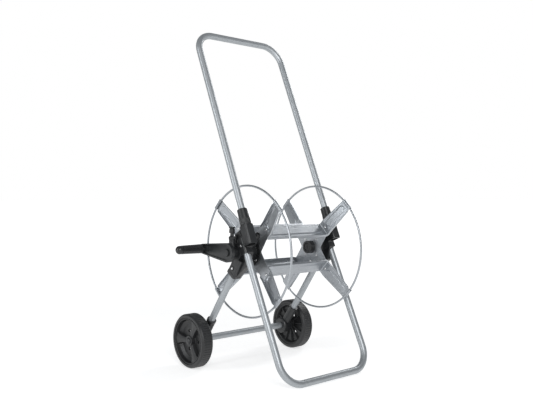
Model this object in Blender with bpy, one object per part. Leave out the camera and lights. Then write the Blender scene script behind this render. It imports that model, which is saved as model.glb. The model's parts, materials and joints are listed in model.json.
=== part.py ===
"""Garden hose reel cart: a two-wheeled tube frame that carries a crank-driven hose drum.

Cart frame: +X across the cart towards the side without the crank, +Y towards the wheels, +Z up.
Every shape is drawn about the drum's axis or about its own tube, then hung on an empty there.
"""
import math

import bmesh
import bpy
from mathutils import Matrix, Vector

# ---------------------------------------------------------------- driving dimensions (metres)
GAP = 0.0003

TUBE_RADIUS = 0.0095
TUBE_WALL = 0.0012
TUBE_SIDES = 12
TUBE_BORE = (TUBE_RADIUS + GAP) / math.cos(math.pi / TUBE_SIDES)
LEG_X = 0.160
HUB_HEIGHT = 0.340

HANDLE_TILT = math.radians(22.9)
HANDLE_HUB_Y = -0.0620
HANDLE_TOP_HEIGHT = 0.9716
HANDLE_CORNER = 0.060
HANDLE_FOOT_S = 0.045

FOOT_TILT = math.radians(24.8)
FOOT_HUB_Y = -0.0338
FOOT_CORNER = 0.061
FOOT_TOP_S = 0.037

WHEEL_LEG_TILT = math.radians(-35.7)
WHEEL_LEG_HUB_Y = -0.0196
WHEEL_LEG_TOP_S = -0.0315
AXLE_Y = 0.1692

WHEEL_RADIUS = 0.0770
WHEEL_WIDTH = 0.0380
WHEEL_INNER_X = 0.1768
WHEEL_SIDES = 36
RIGHT_WHEEL_TURN = math.radians(52)
ROD_RADIUS = 0.0050

RING_X = 0.1331
RING_RADIUS = 0.1804
RING_HALF_THICK = 0.00275
RING_HALF_WIDE = 0.00325
RING_SIDES = 40

SHEET = 0.0012
STRIP_HALF_ROOT = 0.02225
STRIP_HALF_TIP = 0.0175
STRIP_FLANGE = 0.0070
BAR_RADIUS = 0.0770
STRIP_ROOT_X = 0.1120
STRIP_BEND_RADIUS = 0.0930
ARM_RIVET_RADIUS = 0.0850

PLATE_X = 0.1135
PLATE_THICK = 0.0015
PLATE_ARM_HALF = 0.0205
PLATE_ARM_REACH = 0.0910
PLATE_DISC_RADIUS = 0.0440
HUB_RIVET_RADIUS = 0.0330

SHAFT_RADIUS = 0.0080
SHAFT_BORE = 0.0045
BUSH_RADIUS = (SHAFT_RADIUS + GAP) / math.cos(math.pi / 16)
HUB_FLANGE_RADIUS = 0.0420
HUB_BARREL_RADIUS = 0.0270
HUB_BOSS_RADIUS = 0.0187
HUB_BOSS_X = 0.0980
OUTLET_X = 0.1335
OUTLET_ANGLE = math.radians(135)

BRACKET_INNER_X = 0.1460
BRACKET_OUTER_X = 0.1740
SLEEVE_BOTTOM_S = 0.025
SLEEVE_TOP_S = 0.080
SPIGOT_TOP_S = 0.095
COLLAR_TOP_S = 0.126

INLET_X = 0.1836
LEVER_BACK_X = 0.1933
LEVER_FACE_X = 0.2050
CRANK_REACH = 0.1100
CRANK_RISE = math.radians(2.5)
GRIP_END_X = 0.2900

# ---------------------------------------------------------------- placement of the whole cart
MID_X = (GRIP_END_X - WHEEL_INNER_X - WHEEL_WIDTH) / 2
FOOT_BAR_Y = FOOT_HUB_Y - (HUB_HEIGHT - TUBE_RADIUS) * math.tan(FOOT_TILT)
HUB_Y = -(AXLE_Y + WHEEL_RADIUS + FOOT_BAR_Y - TUBE_RADIUS) / 2


# ---------------------------------------------------------------- scene helpers
def clear_scene():
    for item in list(bpy.data.objects):
        bpy.data.objects.remove(item, do_unlink=True)


def make_material(name, colour, roughness, metallic):
    material = bpy.data.materials.new(name)
    material.use_nodes = True
    shader = material.node_tree.nodes["Principled BSDF"]
    shader.inputs["Base Color"].default_value = (*colour, 1.0)
    shader.inputs["Roughness"].default_value = roughness
    shader.inputs["Metallic"].default_value = metallic
    return material


STEEL = ("tube_steel", (0.62, 0.65, 0.68), 0.32, 0.9)
SHEET_STEEL = ("sheet_steel", (0.55, 0.58, 0.60), 0.38, 0.9)
ZINC = ("zinc", (0.66, 0.67, 0.68), 0.3, 1.0)
PLASTIC = ("black_plastic", (0.035, 0.037, 0.040), 0.45, 0.0)
TREAD = ("wheel_plastic", (0.045, 0.047, 0.050), 0.55, 0.0)
SEAL = ("seal_rubber", (0.015, 0.015, 0.015), 0.7, 0.0)


def make_empty(name, parent=None, location=(0, 0, 0), tilt=0.0):
    """An empty whose local Z leans towards +Y by tilt."""
    item = bpy.data.objects.new(name, None)
    item.location = location
    item.rotation_euler = (-tilt, 0, 0)
    item.parent = parent
    bpy.context.collection.objects.link(item)
    return item


def add_part(name, shape, parent, finish):
    """Turn a bmesh into a named object with its own material."""
    bmesh.ops.remove_doubles(shape, verts=shape.verts, dist=1e-6)
    bmesh.ops.recalc_face_normals(shape, faces=shape.faces)
    mesh = bpy.data.meshes.new(name)
    shape.to_mesh(mesh)
    shape.free()
    mesh.shade_smooth()
    mesh.set_sharp_from_angle(angle=math.radians(35))
    item = bpy.data.objects.new(name, mesh)
    item.parent = parent
    bpy.context.collection.objects.link(item)
    mesh.materials.append(make_material(name + "_" + finish[0], *finish[1:]))
    return item


# ---------------------------------------------------------------- shape helpers
def circle(radius, sides, phase=0.0):
    step = math.tau / sides
    return [(radius * math.cos(phase + i * step), radius * math.sin(phase + i * step)) for i in range(sides)]


def arc(centre, radius, start, stop, steps):
    """Points from angle start to stop, both included."""
    points = []
    for i in range(steps + 1):
        angle = start + (stop - start) * i / steps
        points.append((centre[0] + radius * math.cos(angle), centre[1] + radius * math.sin(angle)))
    return points


def rounded_rectangle(half_x, low_y, high_y, radius, steps=2):
    points = []
    corners = [(half_x, high_y, 0), (-half_x, high_y, 1), (-half_x, low_y, 2), (half_x, low_y, 3)]
    for x, y, quarter in corners:
        centre = (x - math.copysign(radius, x), y - radius if y == high_y else y + radius)
        start = quarter * math.pi / 2
        points += arc(centre, radius, start, start + math.pi / 2, steps)
    return points


def bridge(shape, first, second):
    """Quads between two loops of equal length."""
    for i in range(len(first)):
        j = (i + 1) % len(first)
        shape.faces.new((first[i], first[j], second[j], second[i]))


def column(outline, low, high):
    """Extrude an (x, y) outline along Z."""
    shape = bmesh.new()
    bottom = [shape.verts.new((x, y, low)) for x, y in outline]
    top = [shape.verts.new((x, y, high)) for x, y in outline]
    bridge(shape, bottom, top)
    shape.faces.new(bottom[::-1])
    shape.faces.new(top)
    bmesh.ops.recalc_face_normals(shape, faces=shape.faces)
    return shape


def slab(outline, low, high):
    """Extrude a (y, z) outline along X."""
    shape = column(outline, low, high)
    shape.transform(Matrix(((0, 0, 1, 0), (1, 0, 0, 0), (0, 1, 0, 0), (0, 0, 0, 1))))
    return shape


def turned(profile, sides, phase=0.0):
    """Revolve a closed profile of (radius, z) points about Z; a zero radius makes a pole."""
    shape = bmesh.new()
    loops = []
    for radius, z in profile:
        if radius < 1e-7:
            loops.append([shape.verts.new((0, 0, z))])
        else:
            loops.append([shape.verts.new((x, y, z)) for x, y in circle(radius, sides, phase)])
    for i, here in enumerate(loops):
        there = loops[(i + 1) % len(loops)]
        if len(here) == len(there) == 1:
            continue
        if len(here) == len(there):
            bridge(shape, here, there)
            continue
        pole, ring = (here[0], there) if len(here) == 1 else (there[0], here)
        for k in range(sides):
            shape.faces.new((pole, ring[k], ring[(k + 1) % sides]))
    bmesh.ops.recalc_face_normals(shape, faces=shape.faces)
    return shape


def along_x(shape, y=0.0, z=0.0):
    """Lay a shape that was made about Z along X instead."""
    shape.transform(Matrix.Translation((0, y, z)) @ Matrix.Rotation(math.pi / 2, 4, "Y"))
    return shape


def rod(radius, low, high, sides=TUBE_SIDES, phase=0.0):
    return turned([(0, low), (radius, low), (radius, high), (0, high)], sides, phase)


def pipe(outer, inner, low, high, sides=TUBE_SIDES):
    return turned([(inner, low), (outer, low), (outer, high), (inner, high)], sides)


def swept_tube(path, phase=0.0):
    """A hollow tube along a path in the XZ plane of its own frame, with mitred bends."""
    shape = bmesh.new()
    normal = Vector((0, 1, 0))
    walls = ([], [])
    for i, point in enumerate(path):
        before = (point - path[i - 1]).normalized() if i > 0 else None
        after = (path[i + 1] - point).normalized() if i + 1 < len(path) else None
        tangent = ((before or after) + (after or before)).normalized()
        stretch = 1.0 / tangent.dot(before or after)
        side = normal.cross(tangent) * stretch
        for wall, radius in zip(walls, (TUBE_RADIUS, TUBE_RADIUS - TUBE_WALL)):
            ring = [point + normal * a + side * b for a, b in circle(radius, TUBE_SIDES, phase)]
            wall.append([shape.verts.new(p) for p in ring])
    for wall in walls:
        for first, second in zip(wall, wall[1:]):
            bridge(shape, first, second)
    for end in (0, -1):
        bridge(shape, walls[0][end], walls[1][end])
    return shape


def combine(base, tool, operation):
    """Boolean of two bmeshes; the result replaces base."""
    items = []
    for shape in (base, tool):
        mesh = bpy.data.meshes.new("boolean")
        shape.to_mesh(mesh)
        shape.free()
        item = bpy.data.objects.new("boolean", mesh)
        bpy.context.collection.objects.link(item)
        items.append(item)
    modifier = items[0].modifiers.new("boolean", "BOOLEAN")
    modifier.operation = operation
    modifier.solver = "EXACT"
    modifier.object = items[1]
    result = bmesh.new()
    evaluated = items[0].evaluated_get(bpy.context.evaluated_depsgraph_get())
    result.from_mesh(evaluated.to_mesh())
    evaluated.to_mesh_clear()
    for item in items:
        bpy.data.meshes.remove(item.data)
    return result


def join(base, *tools):
    for tool in tools:
        base = combine(base, tool, "UNION")
    return base


def cut(base, *tools):
    for tool in tools:
        base = combine(base, tool, "DIFFERENCE")
    return base


def moved(shape, matrix):
    shape.transform(matrix)
    return shape


def mirrored(shape, side):
    """Keep a right-hand shape, or mirror it to the left."""
    if side < 0:
        shape.transform(Matrix.Scale(-1, 4, (1, 0, 0)))
        bmesh.ops.reverse_faces(shape, faces=shape.faces)
    return shape


def leg_frame(hub_y, tilt, x=0.0):
    """From a leg's own frame, Z along the leg and its zero at hub height, to the hub's frame."""
    return Matrix.Translation((x, hub_y, 0)) @ Matrix.Rotation(-tilt, 4, "X")


HANDLE_FRAME = leg_frame(HANDLE_HUB_Y, HANDLE_TILT, LEG_X)
FOOT_FRAME = leg_frame(FOOT_HUB_Y, FOOT_TILT, LEG_X)
WHEEL_LEG_FRAME = leg_frame(WHEEL_LEG_HUB_Y, WHEEL_LEG_TILT, LEG_X)
CORNERS = [(name, math.radians(angle)) for name, angle in
           (("front_upper", 45), ("front_lower", 135), ("rear_lower", 225), ("rear_upper", 315))]
AXLE_S = -(HUB_HEIGHT - WHEEL_RADIUS) / math.cos(WHEEL_LEG_TILT)


# ---------------------------------------------------------------- tube frame
def bent_legs(end_s, bar_s, corner):
    """Path of a U tube: up one leg, across the bar, down the other leg."""
    upward = math.copysign(1.0, bar_s - end_s)
    path = [Vector((-LEG_X, 0, end_s))]
    for x, start in ((-LEG_X + corner, math.pi), (LEG_X - corner, math.pi / 2)):
        for dx, dz in arc((0, 0), corner, start, start - math.pi / 2, 5):
            path.append(Vector((x + dx, 0, bar_s - upward * corner + upward * dz)))
    path.append(Vector((LEG_X, 0, end_s)))
    return path


def make_handle(datum):
    frame = make_empty("handle_axis", datum, (0, HANDLE_HUB_Y, HUB_HEIGHT), HANDLE_TILT)
    bar_s = (HANDLE_TOP_HEIGHT - HUB_HEIGHT) / math.cos(HANDLE_TILT)
    tube = swept_tube(bent_legs(HANDLE_FOOT_S, bar_s, HANDLE_CORNER))
    add_part("handle_tube", tube, frame, STEEL)


def make_foot(datum):
    frame = make_empty("foot_axis", datum, (0, FOOT_HUB_Y, HUB_HEIGHT), FOOT_TILT)
    bar_s = -(HUB_HEIGHT - TUBE_RADIUS) / math.cos(FOOT_TILT)
    tube = swept_tube(bent_legs(FOOT_TOP_S, bar_s, FOOT_CORNER), phase=FOOT_TILT)
    add_part("foot_tube", tube, frame, STEEL)


def make_wheel_leg(datum, side, label):
    frame = make_empty(label + "_wheel_leg_axis", datum, (side * LEG_X, WHEEL_LEG_HUB_Y, HUB_HEIGHT), WHEEL_LEG_TILT)
    tube = pipe(TUBE_RADIUS, TUBE_RADIUS - TUBE_WALL, AXLE_S + 0.034, WHEEL_LEG_TOP_S)
    add_part(label + "_wheel_leg", tube, frame, STEEL)


# ---------------------------------------------------------------- side brackets
def bracket_outline():
    """Side view of the web that ties the sleeve and both sockets together, about the hub."""
    sleeve_top = [(-0.0446, 0.0770), (-0.0190, 0.0660)]
    rear = [(0.0080, 0.0500), (0.0220, 0.0300), (0.0270, 0.0050), (0.0250, -0.0200)]
    leg_socket = [(0.0340, -0.0520), (0.0090, -0.0720)]
    front = [(-0.0370, -0.0370), (-0.0465, 0.0025), (-0.0395, 0.0180), (-0.0620, 0.0280)]
    return (sleeve_top + rear + leg_socket + front)[::-1]


SCREW_PLACES = (("foot", FOOT_FRAME, 0.020), ("leg", WHEEL_LEG_FRAME, -0.055))


def make_bracket(hub, side, label):
    half = (BRACKET_OUTER_X - BRACKET_INNER_X) / 2
    body = slab(bracket_outline(), BRACKET_INNER_X + 0.0010, BRACKET_OUTER_X - 0.0090)
    sleeve = column(rounded_rectangle(half, -0.015, 0.014, 0.006), SLEEVE_BOTTOM_S, SLEEVE_TOP_S)
    spigot = rod(0.0124, SLEEVE_TOP_S - 0.004, SPIGOT_TOP_S, 16)
    foot_socket = column(rounded_rectangle(half - 0.0004, -0.013, 0.013, 0.005), -0.003, 0.042)
    leg_socket = column(rounded_rectangle(half - 0.0002, -0.020, 0.014, 0.005), -0.077, -0.018)
    boss = along_x(rod(0.0240, BRACKET_INNER_X - 0.0004, BRACKET_OUTER_X + 0.0001, 24))
    body = join(body, moved(sleeve, HANDLE_FRAME), moved(spigot, HANDLE_FRAME), moved(foot_socket, FOOT_FRAME))
    body = join(body, moved(leg_socket, WHEEL_LEG_FRAME), boss)
    body = cut(body, moved(rod(TUBE_BORE, SLEEVE_BOTTOM_S - 0.01, SPIGOT_TOP_S + 0.01), HANDLE_FRAME))
    body = cut(body, moved(rod(0.0116, SLEEVE_BOTTOM_S - 0.01, SLEEVE_BOTTOM_S + 0.008), HANDLE_FRAME))
    body = cut(body, moved(rod(TUBE_BORE, -0.06, FOOT_TOP_S + 0.0005), FOOT_FRAME))
    body = cut(body, moved(rod(TUBE_BORE, -0.09, WHEEL_LEG_TOP_S + 0.0005), WHEEL_LEG_FRAME))
    body = cut(body, along_x(rod(BUSH_RADIUS, BRACKET_INNER_X - 0.01, BRACKET_OUTER_X + 0.01, 16)))
    for _, frame, s in SCREW_PLACES:
        place = frame @ Matrix.Translation((0, 0, s))
        body = cut(body, moved(along_x(rod(0.0022, half - 0.007, half + 0.004, 8)), place))
    add_part(label + "_bracket", mirrored(body, side), hub, PLASTIC)


def make_bracket_screws(hub, side, label):
    """Set screws that bear on the foot tube and on the wheel leg."""
    half = (BRACKET_OUTER_X - BRACKET_INNER_X) / 2
    profile = [(0, 0.0099), (0.0018, 0.0099), (0.0018, half + GAP), (0.0038, half + GAP),
               (0.0030, half + 0.0022), (0, half + 0.0022)]
    for name, frame, s in SCREW_PLACES:
        screw = moved(along_x(turned(profile, 10)), frame @ Matrix.Translation((0, 0, s)))
        add_part(f"{label}_{name}_screw", mirrored(screw, side), hub, ZINC)


def make_collar(datum, side, label):
    """Clamp collar that screws onto the bracket's spigot and grips the handle leg."""
    axis = make_empty(label + "_collar_axis", datum, (side * LEG_X, HANDLE_HUB_Y, HUB_HEIGHT), HANDLE_TILT)
    bore = TUBE_RADIUS + GAP
    profile = [(0.0128, SLEEVE_TOP_S + 0.0005), (0.0155, SLEEVE_TOP_S + 0.0005), (0.0150, 0.108),
               (0.0140, COLLAR_TOP_S - 0.0015), (0.0128, COLLAR_TOP_S), (bore, COLLAR_TOP_S),
               (bore, SPIGOT_TOP_S + 0.0006), (0.0128, SPIGOT_TOP_S + 0.0006)]
    add_part(label + "_collar", turned(profile, 16), axis, PLASTIC)


# ---------------------------------------------------------------- axle and wheels
def make_axle(datum):
    axis = make_empty("axle_axis", datum, (0, AXLE_Y, WHEEL_RADIUS))
    end_x = 0.1575
    tube = pipe(TUBE_RADIUS, TUBE_RADIUS - TUBE_WALL, -end_x, end_x)
    add_part("axle_tube", along_x(tube), axis, STEEL)
    reach = WHEEL_INNER_X + 0.0350
    add_part("axle_rod", along_x(rod(ROD_RADIUS, -reach, reach)), axis, ZINC)
    for side, label in ((-1, "left"), (1, "right")):
        cap = turned([(0, 0.0354), (0.0053, 0.0354), (0.0053, 0.0333), (0.0095, 0.0333),
                      (0.0095, 0.0350), (0.0070, 0.0372), (0, 0.0374)], 12)
        cap = moved(along_x(cap), Matrix.Translation((WHEEL_INNER_X, 0, 0)))
        add_part(label + "_axle_cap", mirrored(cap, side), axis, PLASTIC)


def make_axle_bracket(axis, side, label):
    """Black end fitting: a socket for the wheel leg over a round body for the axle."""
    to_axle = Matrix.Translation((0, -AXLE_Y, HUB_HEIGHT - WHEEL_RADIUS)) @ WHEEL_LEG_FRAME
    inner_x = 0.1420
    outer_x = 0.1730
    body = along_x(rod(0.0235, inner_x, outer_x, 24))
    body = join(body, along_x(rod(0.0110, outer_x - 0.002, WHEEL_INNER_X - GAP, 16)))
    socket = moved(rod(0.0135, AXLE_S + 0.006, AXLE_S + 0.077, 16), to_axle)
    body = join(body, socket)
    body = cut(body, moved(rod(TUBE_BORE, AXLE_S + 0.0335, AXLE_S + 0.090), to_axle))
    body = cut(body, along_x(rod(TUBE_BORE, inner_x - 0.01, 0.1580)))
    body = cut(body, along_x(rod(ROD_RADIUS + GAP, 0.1500, outer_x + 0.02, 16)))
    add_part(label + "_axle_bracket", mirrored(body, side), axis, PLASTIC)


def make_wheel(datum, side, label, turn):
    axis = make_empty(label + "_wheel_axis", datum, (0, AXLE_Y, WHEEL_RADIUS))
    bore = ROD_RADIUS + GAP
    profile = [(bore, 0.0330), (bore, 0.0), (0.0130, 0.0), (0.0140, 0.0140), (0.0560, 0.0140),
               (0.0610, 0.0040), (0.0650, 0.0), (0.0725, 0.0), (WHEEL_RADIUS, 0.0040),
               (WHEEL_RADIUS, 0.0340), (0.0725, WHEEL_WIDTH), (0.0650, WHEEL_WIDTH),
               (0.0620, 0.0345), (0.0600, 0.0250), (0.0500, 0.0200),
               (0.0150, 0.0200), (0.0140, 0.0330)]
    wheel = along_x(turned(profile, WHEEL_SIDES))
    for i in range(3):
        turned_by = Matrix.Rotation(turn + i * math.tau / 3, 4, "X")
        spoke = [(0.0110, -0.0060), (0.0360, -0.0085), (0.0612, -0.0140), (0.0612, 0.0140),
                 (0.0360, 0.0085), (0.0110, 0.0060)]
        wheel = join(wheel, moved(slab(spoke, 0.0170, 0.0325), turned_by))
        window = Matrix.Rotation(turn + (i + 0.5) * math.tau / 3, 4, "X")
        hole = along_x(rod(0.0050, 0.0100, 0.0260, 8), 0.0300)
        wheel = cut(wheel, moved(hole, window))
    wheel = moved(wheel, Matrix.Translation((WHEEL_INNER_X, 0, 0)))
    add_part(label + "_wheel", mirrored(wheel, side), axis, TREAD)


# ---------------------------------------------------------------- drum
def strip_stations():
    """Half of a drum strip as (x, radius, half width, flange): from the bar's corner to the tip."""
    hook_inner = RING_X - RING_HALF_WIDE - GAP - SHEET
    hook_outer = RING_X + RING_HALF_WIDE + GAP + SHEET
    hook_top = RING_RADIUS + RING_HALF_THICK + GAP + SHEET
    lip = SHEET + 0.0002
    return [(STRIP_ROOT_X, BAR_RADIUS, STRIP_HALF_ROOT, STRIP_FLANGE),
            (STRIP_ROOT_X, STRIP_BEND_RADIUS, STRIP_HALF_ROOT, STRIP_FLANGE),
            (hook_inner - 0.0022, 0.1620, STRIP_HALF_TIP + 0.0006, STRIP_FLANGE),
            (hook_inner, 0.1720, STRIP_HALF_TIP, lip),
            (hook_inner, hook_top, STRIP_HALF_TIP, lip),
            (hook_outer, hook_top, STRIP_HALF_TIP, lip),
            (hook_outer, RING_RADIUS - 0.0020, STRIP_HALF_TIP, lip)]


def make_strip(drum, name, angle):
    """One bar with an arm at each end, pressed from a single strip of sheet."""
    half = strip_stations()
    stations = [(-x, r, w, f) for x, r, w, f in reversed(half)] + half
    shape = bmesh.new()
    loops = []
    for i, (x, r, wide, flange) in enumerate(stations):
        here = Vector((x, r))
        before = (here - Vector(stations[i - 1][:2])).normalized() if i > 0 else None
        after = (Vector(stations[i + 1][:2]) - here).normalized() if i + 1 < len(stations) else None
        tangent = ((before or after) + (after or before)).normalized()
        stretch = 1.0 / tangent.dot(before or after)
        inward = Vector((tangent.y, -tangent.x)) * stretch
        section = [(-wide, 0), (wide, 0), (wide, flange), (wide - SHEET, flange), (wide - SHEET, SHEET),
                   (-wide + SHEET, SHEET), (-wide + SHEET, flange), (-wide, flange)]
        loop = []
        for across, depth in section:
            spot = here + inward * depth
            loop.append(shape.verts.new((spot.x, across, spot.y)))
        loops.append(loop)
    for first, second in zip(loops, loops[1:]):
        bridge(shape, first, second)
    for end in (loops[0], loops[-1]):
        shape.faces.new((end[0], end[1], end[4], end[5]))
        shape.faces.new((end[1], end[2], end[3], end[4]))
        shape.faces.new((end[0], end[5], end[6], end[7]))
    bmesh.ops.recalc_face_normals(shape, faces=shape.faces)
    for side in (-1, 1):
        hole = along_x(rod(0.0029, STRIP_ROOT_X - 0.004, STRIP_ROOT_X + 0.006, 6), 0, ARM_RIVET_RADIUS)
        shape = cut(shape, mirrored(hole, side))
    add_part(name, moved(shape, Matrix.Rotation(angle, 4, "X")), drum, SHEET_STEEL)


def make_ring(drum, side, label):
    half_r = RING_HALF_THICK
    half_x = RING_HALF_WIDE
    section = [(half_r, -half_x / 2), (half_r, half_x / 2), (0, half_x), (-half_r, half_x / 2),
               (-half_r, -half_x / 2), (0, -half_x)]
    profile = [(RING_RADIUS + r, side * RING_X + x) for r, x in section]
    add_part(label + "_ring", along_x(turned(profile, RING_SIDES)), drum, STEEL)


def plate_outline():
    """A disc with four arms, the first along +Z."""
    outline = []
    root = math.asin(PLATE_ARM_HALF / PLATE_DISC_RADIUS)
    for i in range(4):
        middle = math.pi / 2 + i * math.pi / 2
        along = Vector((math.cos(middle), math.sin(middle)))
        across = Vector((along.y, -along.x))
        for sign in (1, -1):
            outline.append(tuple(along * PLATE_ARM_REACH + across * sign * PLATE_ARM_HALF))
        outline += arc((0, 0), PLATE_DISC_RADIUS, middle + root, middle + math.pi / 2 - root, 3)
    return outline


def make_plate(drum, side, label):
    plate = slab(plate_outline(), PLATE_X, PLATE_X + PLATE_THICK)
    low = PLATE_X - 0.005
    high = PLATE_X + 0.005
    plate = cut(plate, along_x(rod(HUB_BOSS_RADIUS + GAP, low, high, 24)))
    for i in range(4):
        quarter = Matrix.Rotation(i * math.pi / 2, 4, "X")
        for z, radius in ((ARM_RIVET_RADIUS, 0.0029), (HUB_RIVET_RADIUS, 0.0021)):
            plate = cut(plate, moved(along_x(rod(radius, low, high, 6), 0, z), quarter))
    plate = moved(plate, Matrix.Rotation(math.pi / 4, 4, "X"))
    add_part(label + "_centre_plate", mirrored(plate, side), drum, SHEET_STEEL)


def rivet(low, high, shank, head):
    """A rivet along X that clamps everything between low and high."""
    profile = [(0, low - 0.0012), (head * 0.7, low - 0.0012), (head, low - GAP), (shank, low - GAP),
               (shank, high + GAP), (head, high + GAP), (head * 0.7, high + 0.0012), (0, high + 0.0012)]
    return along_x(turned(profile, 6))


def make_rivets(drum, side, label):
    for name, angle in CORNERS:
        corner = Matrix.Rotation(angle, 4, "X")
        item = rivet(STRIP_ROOT_X, PLATE_X + PLATE_THICK, 0.0025, 0.0045)
        item = moved(item, corner @ Matrix.Translation((0, 0, ARM_RIVET_RADIUS)))
        add_part(f"{label}_{name}_arm_rivet", mirrored(item, side), drum, ZINC)
        item = rivet(PLATE_X, 0.1200, 0.0018, 0.0036)
        item = moved(item, corner @ Matrix.Translation((0, 0, HUB_RIVET_RADIUS)))
        add_part(f"{label}_{name}_hub_rivet", mirrored(item, side), drum, ZINC)


# ---------------------------------------------------------------- hubs, shaft and water way
def hub_moulding(bore, recess=None):
    """Flanged plastic hub: boss inside the drum, flange on the plate, barrel towards the bracket."""
    flange_x = PLATE_X + PLATE_THICK + GAP
    barrel_end = BRACKET_INNER_X - 0.0009
    profile = [(bore, barrel_end)]
    if recess:
        profile += [(bore, HUB_BOSS_X + recess[1]), (recess[0], HUB_BOSS_X + recess[1]), (recess[0], HUB_BOSS_X)]
    else:
        profile += [(bore, HUB_BOSS_X)]
    profile += [(HUB_BOSS_RADIUS, HUB_BOSS_X), (HUB_BOSS_RADIUS, flange_x), (HUB_FLANGE_RADIUS, flange_x),
                (HUB_FLANGE_RADIUS, 0.1200), (HUB_BARREL_RADIUS, 0.1200), (HUB_BARREL_RADIUS, barrel_end)]
    hub = along_x(turned(profile, 20))
    for i in range(4):
        quarter = Matrix.Rotation(math.pi / 4 + i * math.pi / 2, 4, "X")
        hub = cut(hub, moved(along_x(rod(0.0021, 0.110, 0.124, 6), 0, HUB_RIVET_RADIUS), quarter))
    return hub


def outlet_frame():
    """Outlet axis on the left hub: Z points out of the hub, up and to the front."""
    return Matrix.Translation((-OUTLET_X, 0, 0)) @ Matrix.Rotation(OUTLET_ANGLE - math.pi / 2, 4, "X")


def make_left_hub(drum):
    hub = mirrored(hub_moulding(SHAFT_RADIUS + GAP), -1)
    hub = join(hub, moved(rod(0.0118, 0.020, 0.0375, 16), outlet_frame()))
    hub = cut(hub, moved(rod(0.0080, 0.0290, 0.0450, 12), outlet_frame()))
    hub = cut(hub, moved(rod(0.0040, 0.0050, 0.0350, 8), outlet_frame()))
    add_part("left_hub", hub, drum, PLASTIC)
    nozzle = turned([(0.0040, 0.0294), (0.0077, 0.0294), (0.0077, 0.0378), (0.0120, 0.0378),
                     (0.0120, 0.0440), (0.0095, 0.0450), (0.0095, 0.0520), (0.0078, 0.0530),
                     (0.0078, 0.0575), (0.0088, 0.0585), (0.0088, 0.0640), (0.0072, 0.0655),
                     (0.0072, 0.0700), (0.0040, 0.0720)], 12)
    add_part("outlet_nozzle", moved(nozzle, outlet_frame()), drum, PLASTIC)
    seal = turned([(0.0081, 0.0540), (0.0092, 0.0540), (0.0092, 0.0565), (0.0081, 0.0565)], 12)
    add_part("outlet_seal", moved(seal, outlet_frame()), drum, SEAL)


def make_right_hub(drum):
    add_part("right_hub", hub_moulding(SHAFT_RADIUS + GAP, (0.0123, 0.0050)), drum, PLASTIC)
    groove = BRACKET_OUTER_X + 0.0007
    pin = turned([(0, 0.0990), (0.0100, 0.0990), (0.0120, 0.1005), (0.0120, 0.1027), (SHAFT_RADIUS, 0.1027),
                  (SHAFT_RADIUS, groove), (0.0062, groove), (0.0062, groove + 0.0018),
                  (SHAFT_RADIUS, groove + 0.0018), (SHAFT_RADIUS - 0.001, groove + 0.0040),
                  (0, groove + 0.0040)], 12)
    add_part("right_journal", along_x(pin), drum, PLASTIC)
    opening = math.radians(28)
    outline = arc((0, 0), 0.0115, opening, math.tau - opening, 14)
    outline += arc((0, 0), 0.0066, math.tau - opening, opening, 14)
    clip = slab(outline, groove + GAP, groove + 0.0015)
    add_part("journal_clip", clip, drum, ZINC)


def make_shaft(drum):
    end_x = LEVER_FACE_X - 0.0034
    profile = [(0, 0.1050), (SHAFT_RADIUS, 0.1050), (SHAFT_RADIUS, end_x), (SHAFT_BORE, end_x),
               (SHAFT_BORE, 0.1200), (0, 0.1200)]
    shaft = mirrored(along_x(turned(profile, 16)), -1)
    inlet_port = moved(rod(0.0025, 0.0, 0.012, 8), Matrix.Translation((-INLET_X, 0, 0)))
    shaft = cut(shaft, inlet_port, moved(rod(0.0025, 0.0, 0.012, 8), outlet_frame()))
    add_part("drum_shaft", shaft, drum, ZINC)


def make_inlet(hub):
    """Rotary inlet: a ring round the shaft with a hose connector standing on it."""
    low = BRACKET_OUTER_X + 0.0005
    high = LEVER_BACK_X - 0.0005
    ring = mirrored(along_x(pipe(0.0150, 0.0104, low, high, 16)), -1)
    here = Matrix.Translation((-INLET_X, 0, 0))
    ring = join(ring, moved(rod(0.0085, 0.0125, 0.0320, 12), here))
    ring = cut(ring, moved(rod(0.0035, 0.0080, 0.0340, 8), here))
    add_part("inlet_body", ring, hub, PLASTIC)
    nipple = turned([(0.0035, 0.0323), (0.0085, 0.0323), (0.0085, 0.0415), (0.0090, 0.0420),
                     (0.0090, 0.0465), (0.0075, 0.0475), (0.0075, 0.0520), (0.0066, 0.0530),
                     (0.0066, 0.0558), (0.0070, 0.0565), (0.0070, 0.0585), (0.0056, 0.0595),
                     (0.0056, 0.0625), (0.0071, 0.0640), (0.0071, 0.0670), (0.0055, 0.0695),
                     (0.0035, 0.0695)], 12)
    add_part("inlet_nipple", moved(nipple, here), hub, PLASTIC)
    seal = turned([(0.0069, 0.0532), (0.0079, 0.0532), (0.0079, 0.0555), (0.0069, 0.0555)], 12)
    add_part("inlet_seal", moved(seal, here), hub, SEAL)
    for name, x in (("inner", INLET_X - 0.0060), ("outer", INLET_X + 0.0060)):
        ring = along_x(pipe(0.0100, 0.0084, x - 0.0009, x + 0.0009, 12))
        add_part(name + "_shaft_seal", mirrored(ring, -1), hub, SEAL)


# ---------------------------------------------------------------- crank
def lever_outline(inset=0.0):
    """Side view of the lever: a large round hub end tapering to a small round grip end."""
    hub_radius = 0.0260 - inset
    tip_radius = 0.0140 - inset
    lean = math.asin((hub_radius - tip_radius) / CRANK_REACH)
    grip = (CRANK_REACH * math.cos(CRANK_RISE), CRANK_REACH * math.sin(CRANK_RISE))
    start = CRANK_RISE + math.pi / 2 - lean
    points = arc((0, 0), hub_radius, start, CRANK_RISE + math.tau - (math.pi / 2 - lean), 14)
    points += arc(grip, tip_radius, CRANK_RISE - (math.pi / 2 - lean), start, 7)
    return points


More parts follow.
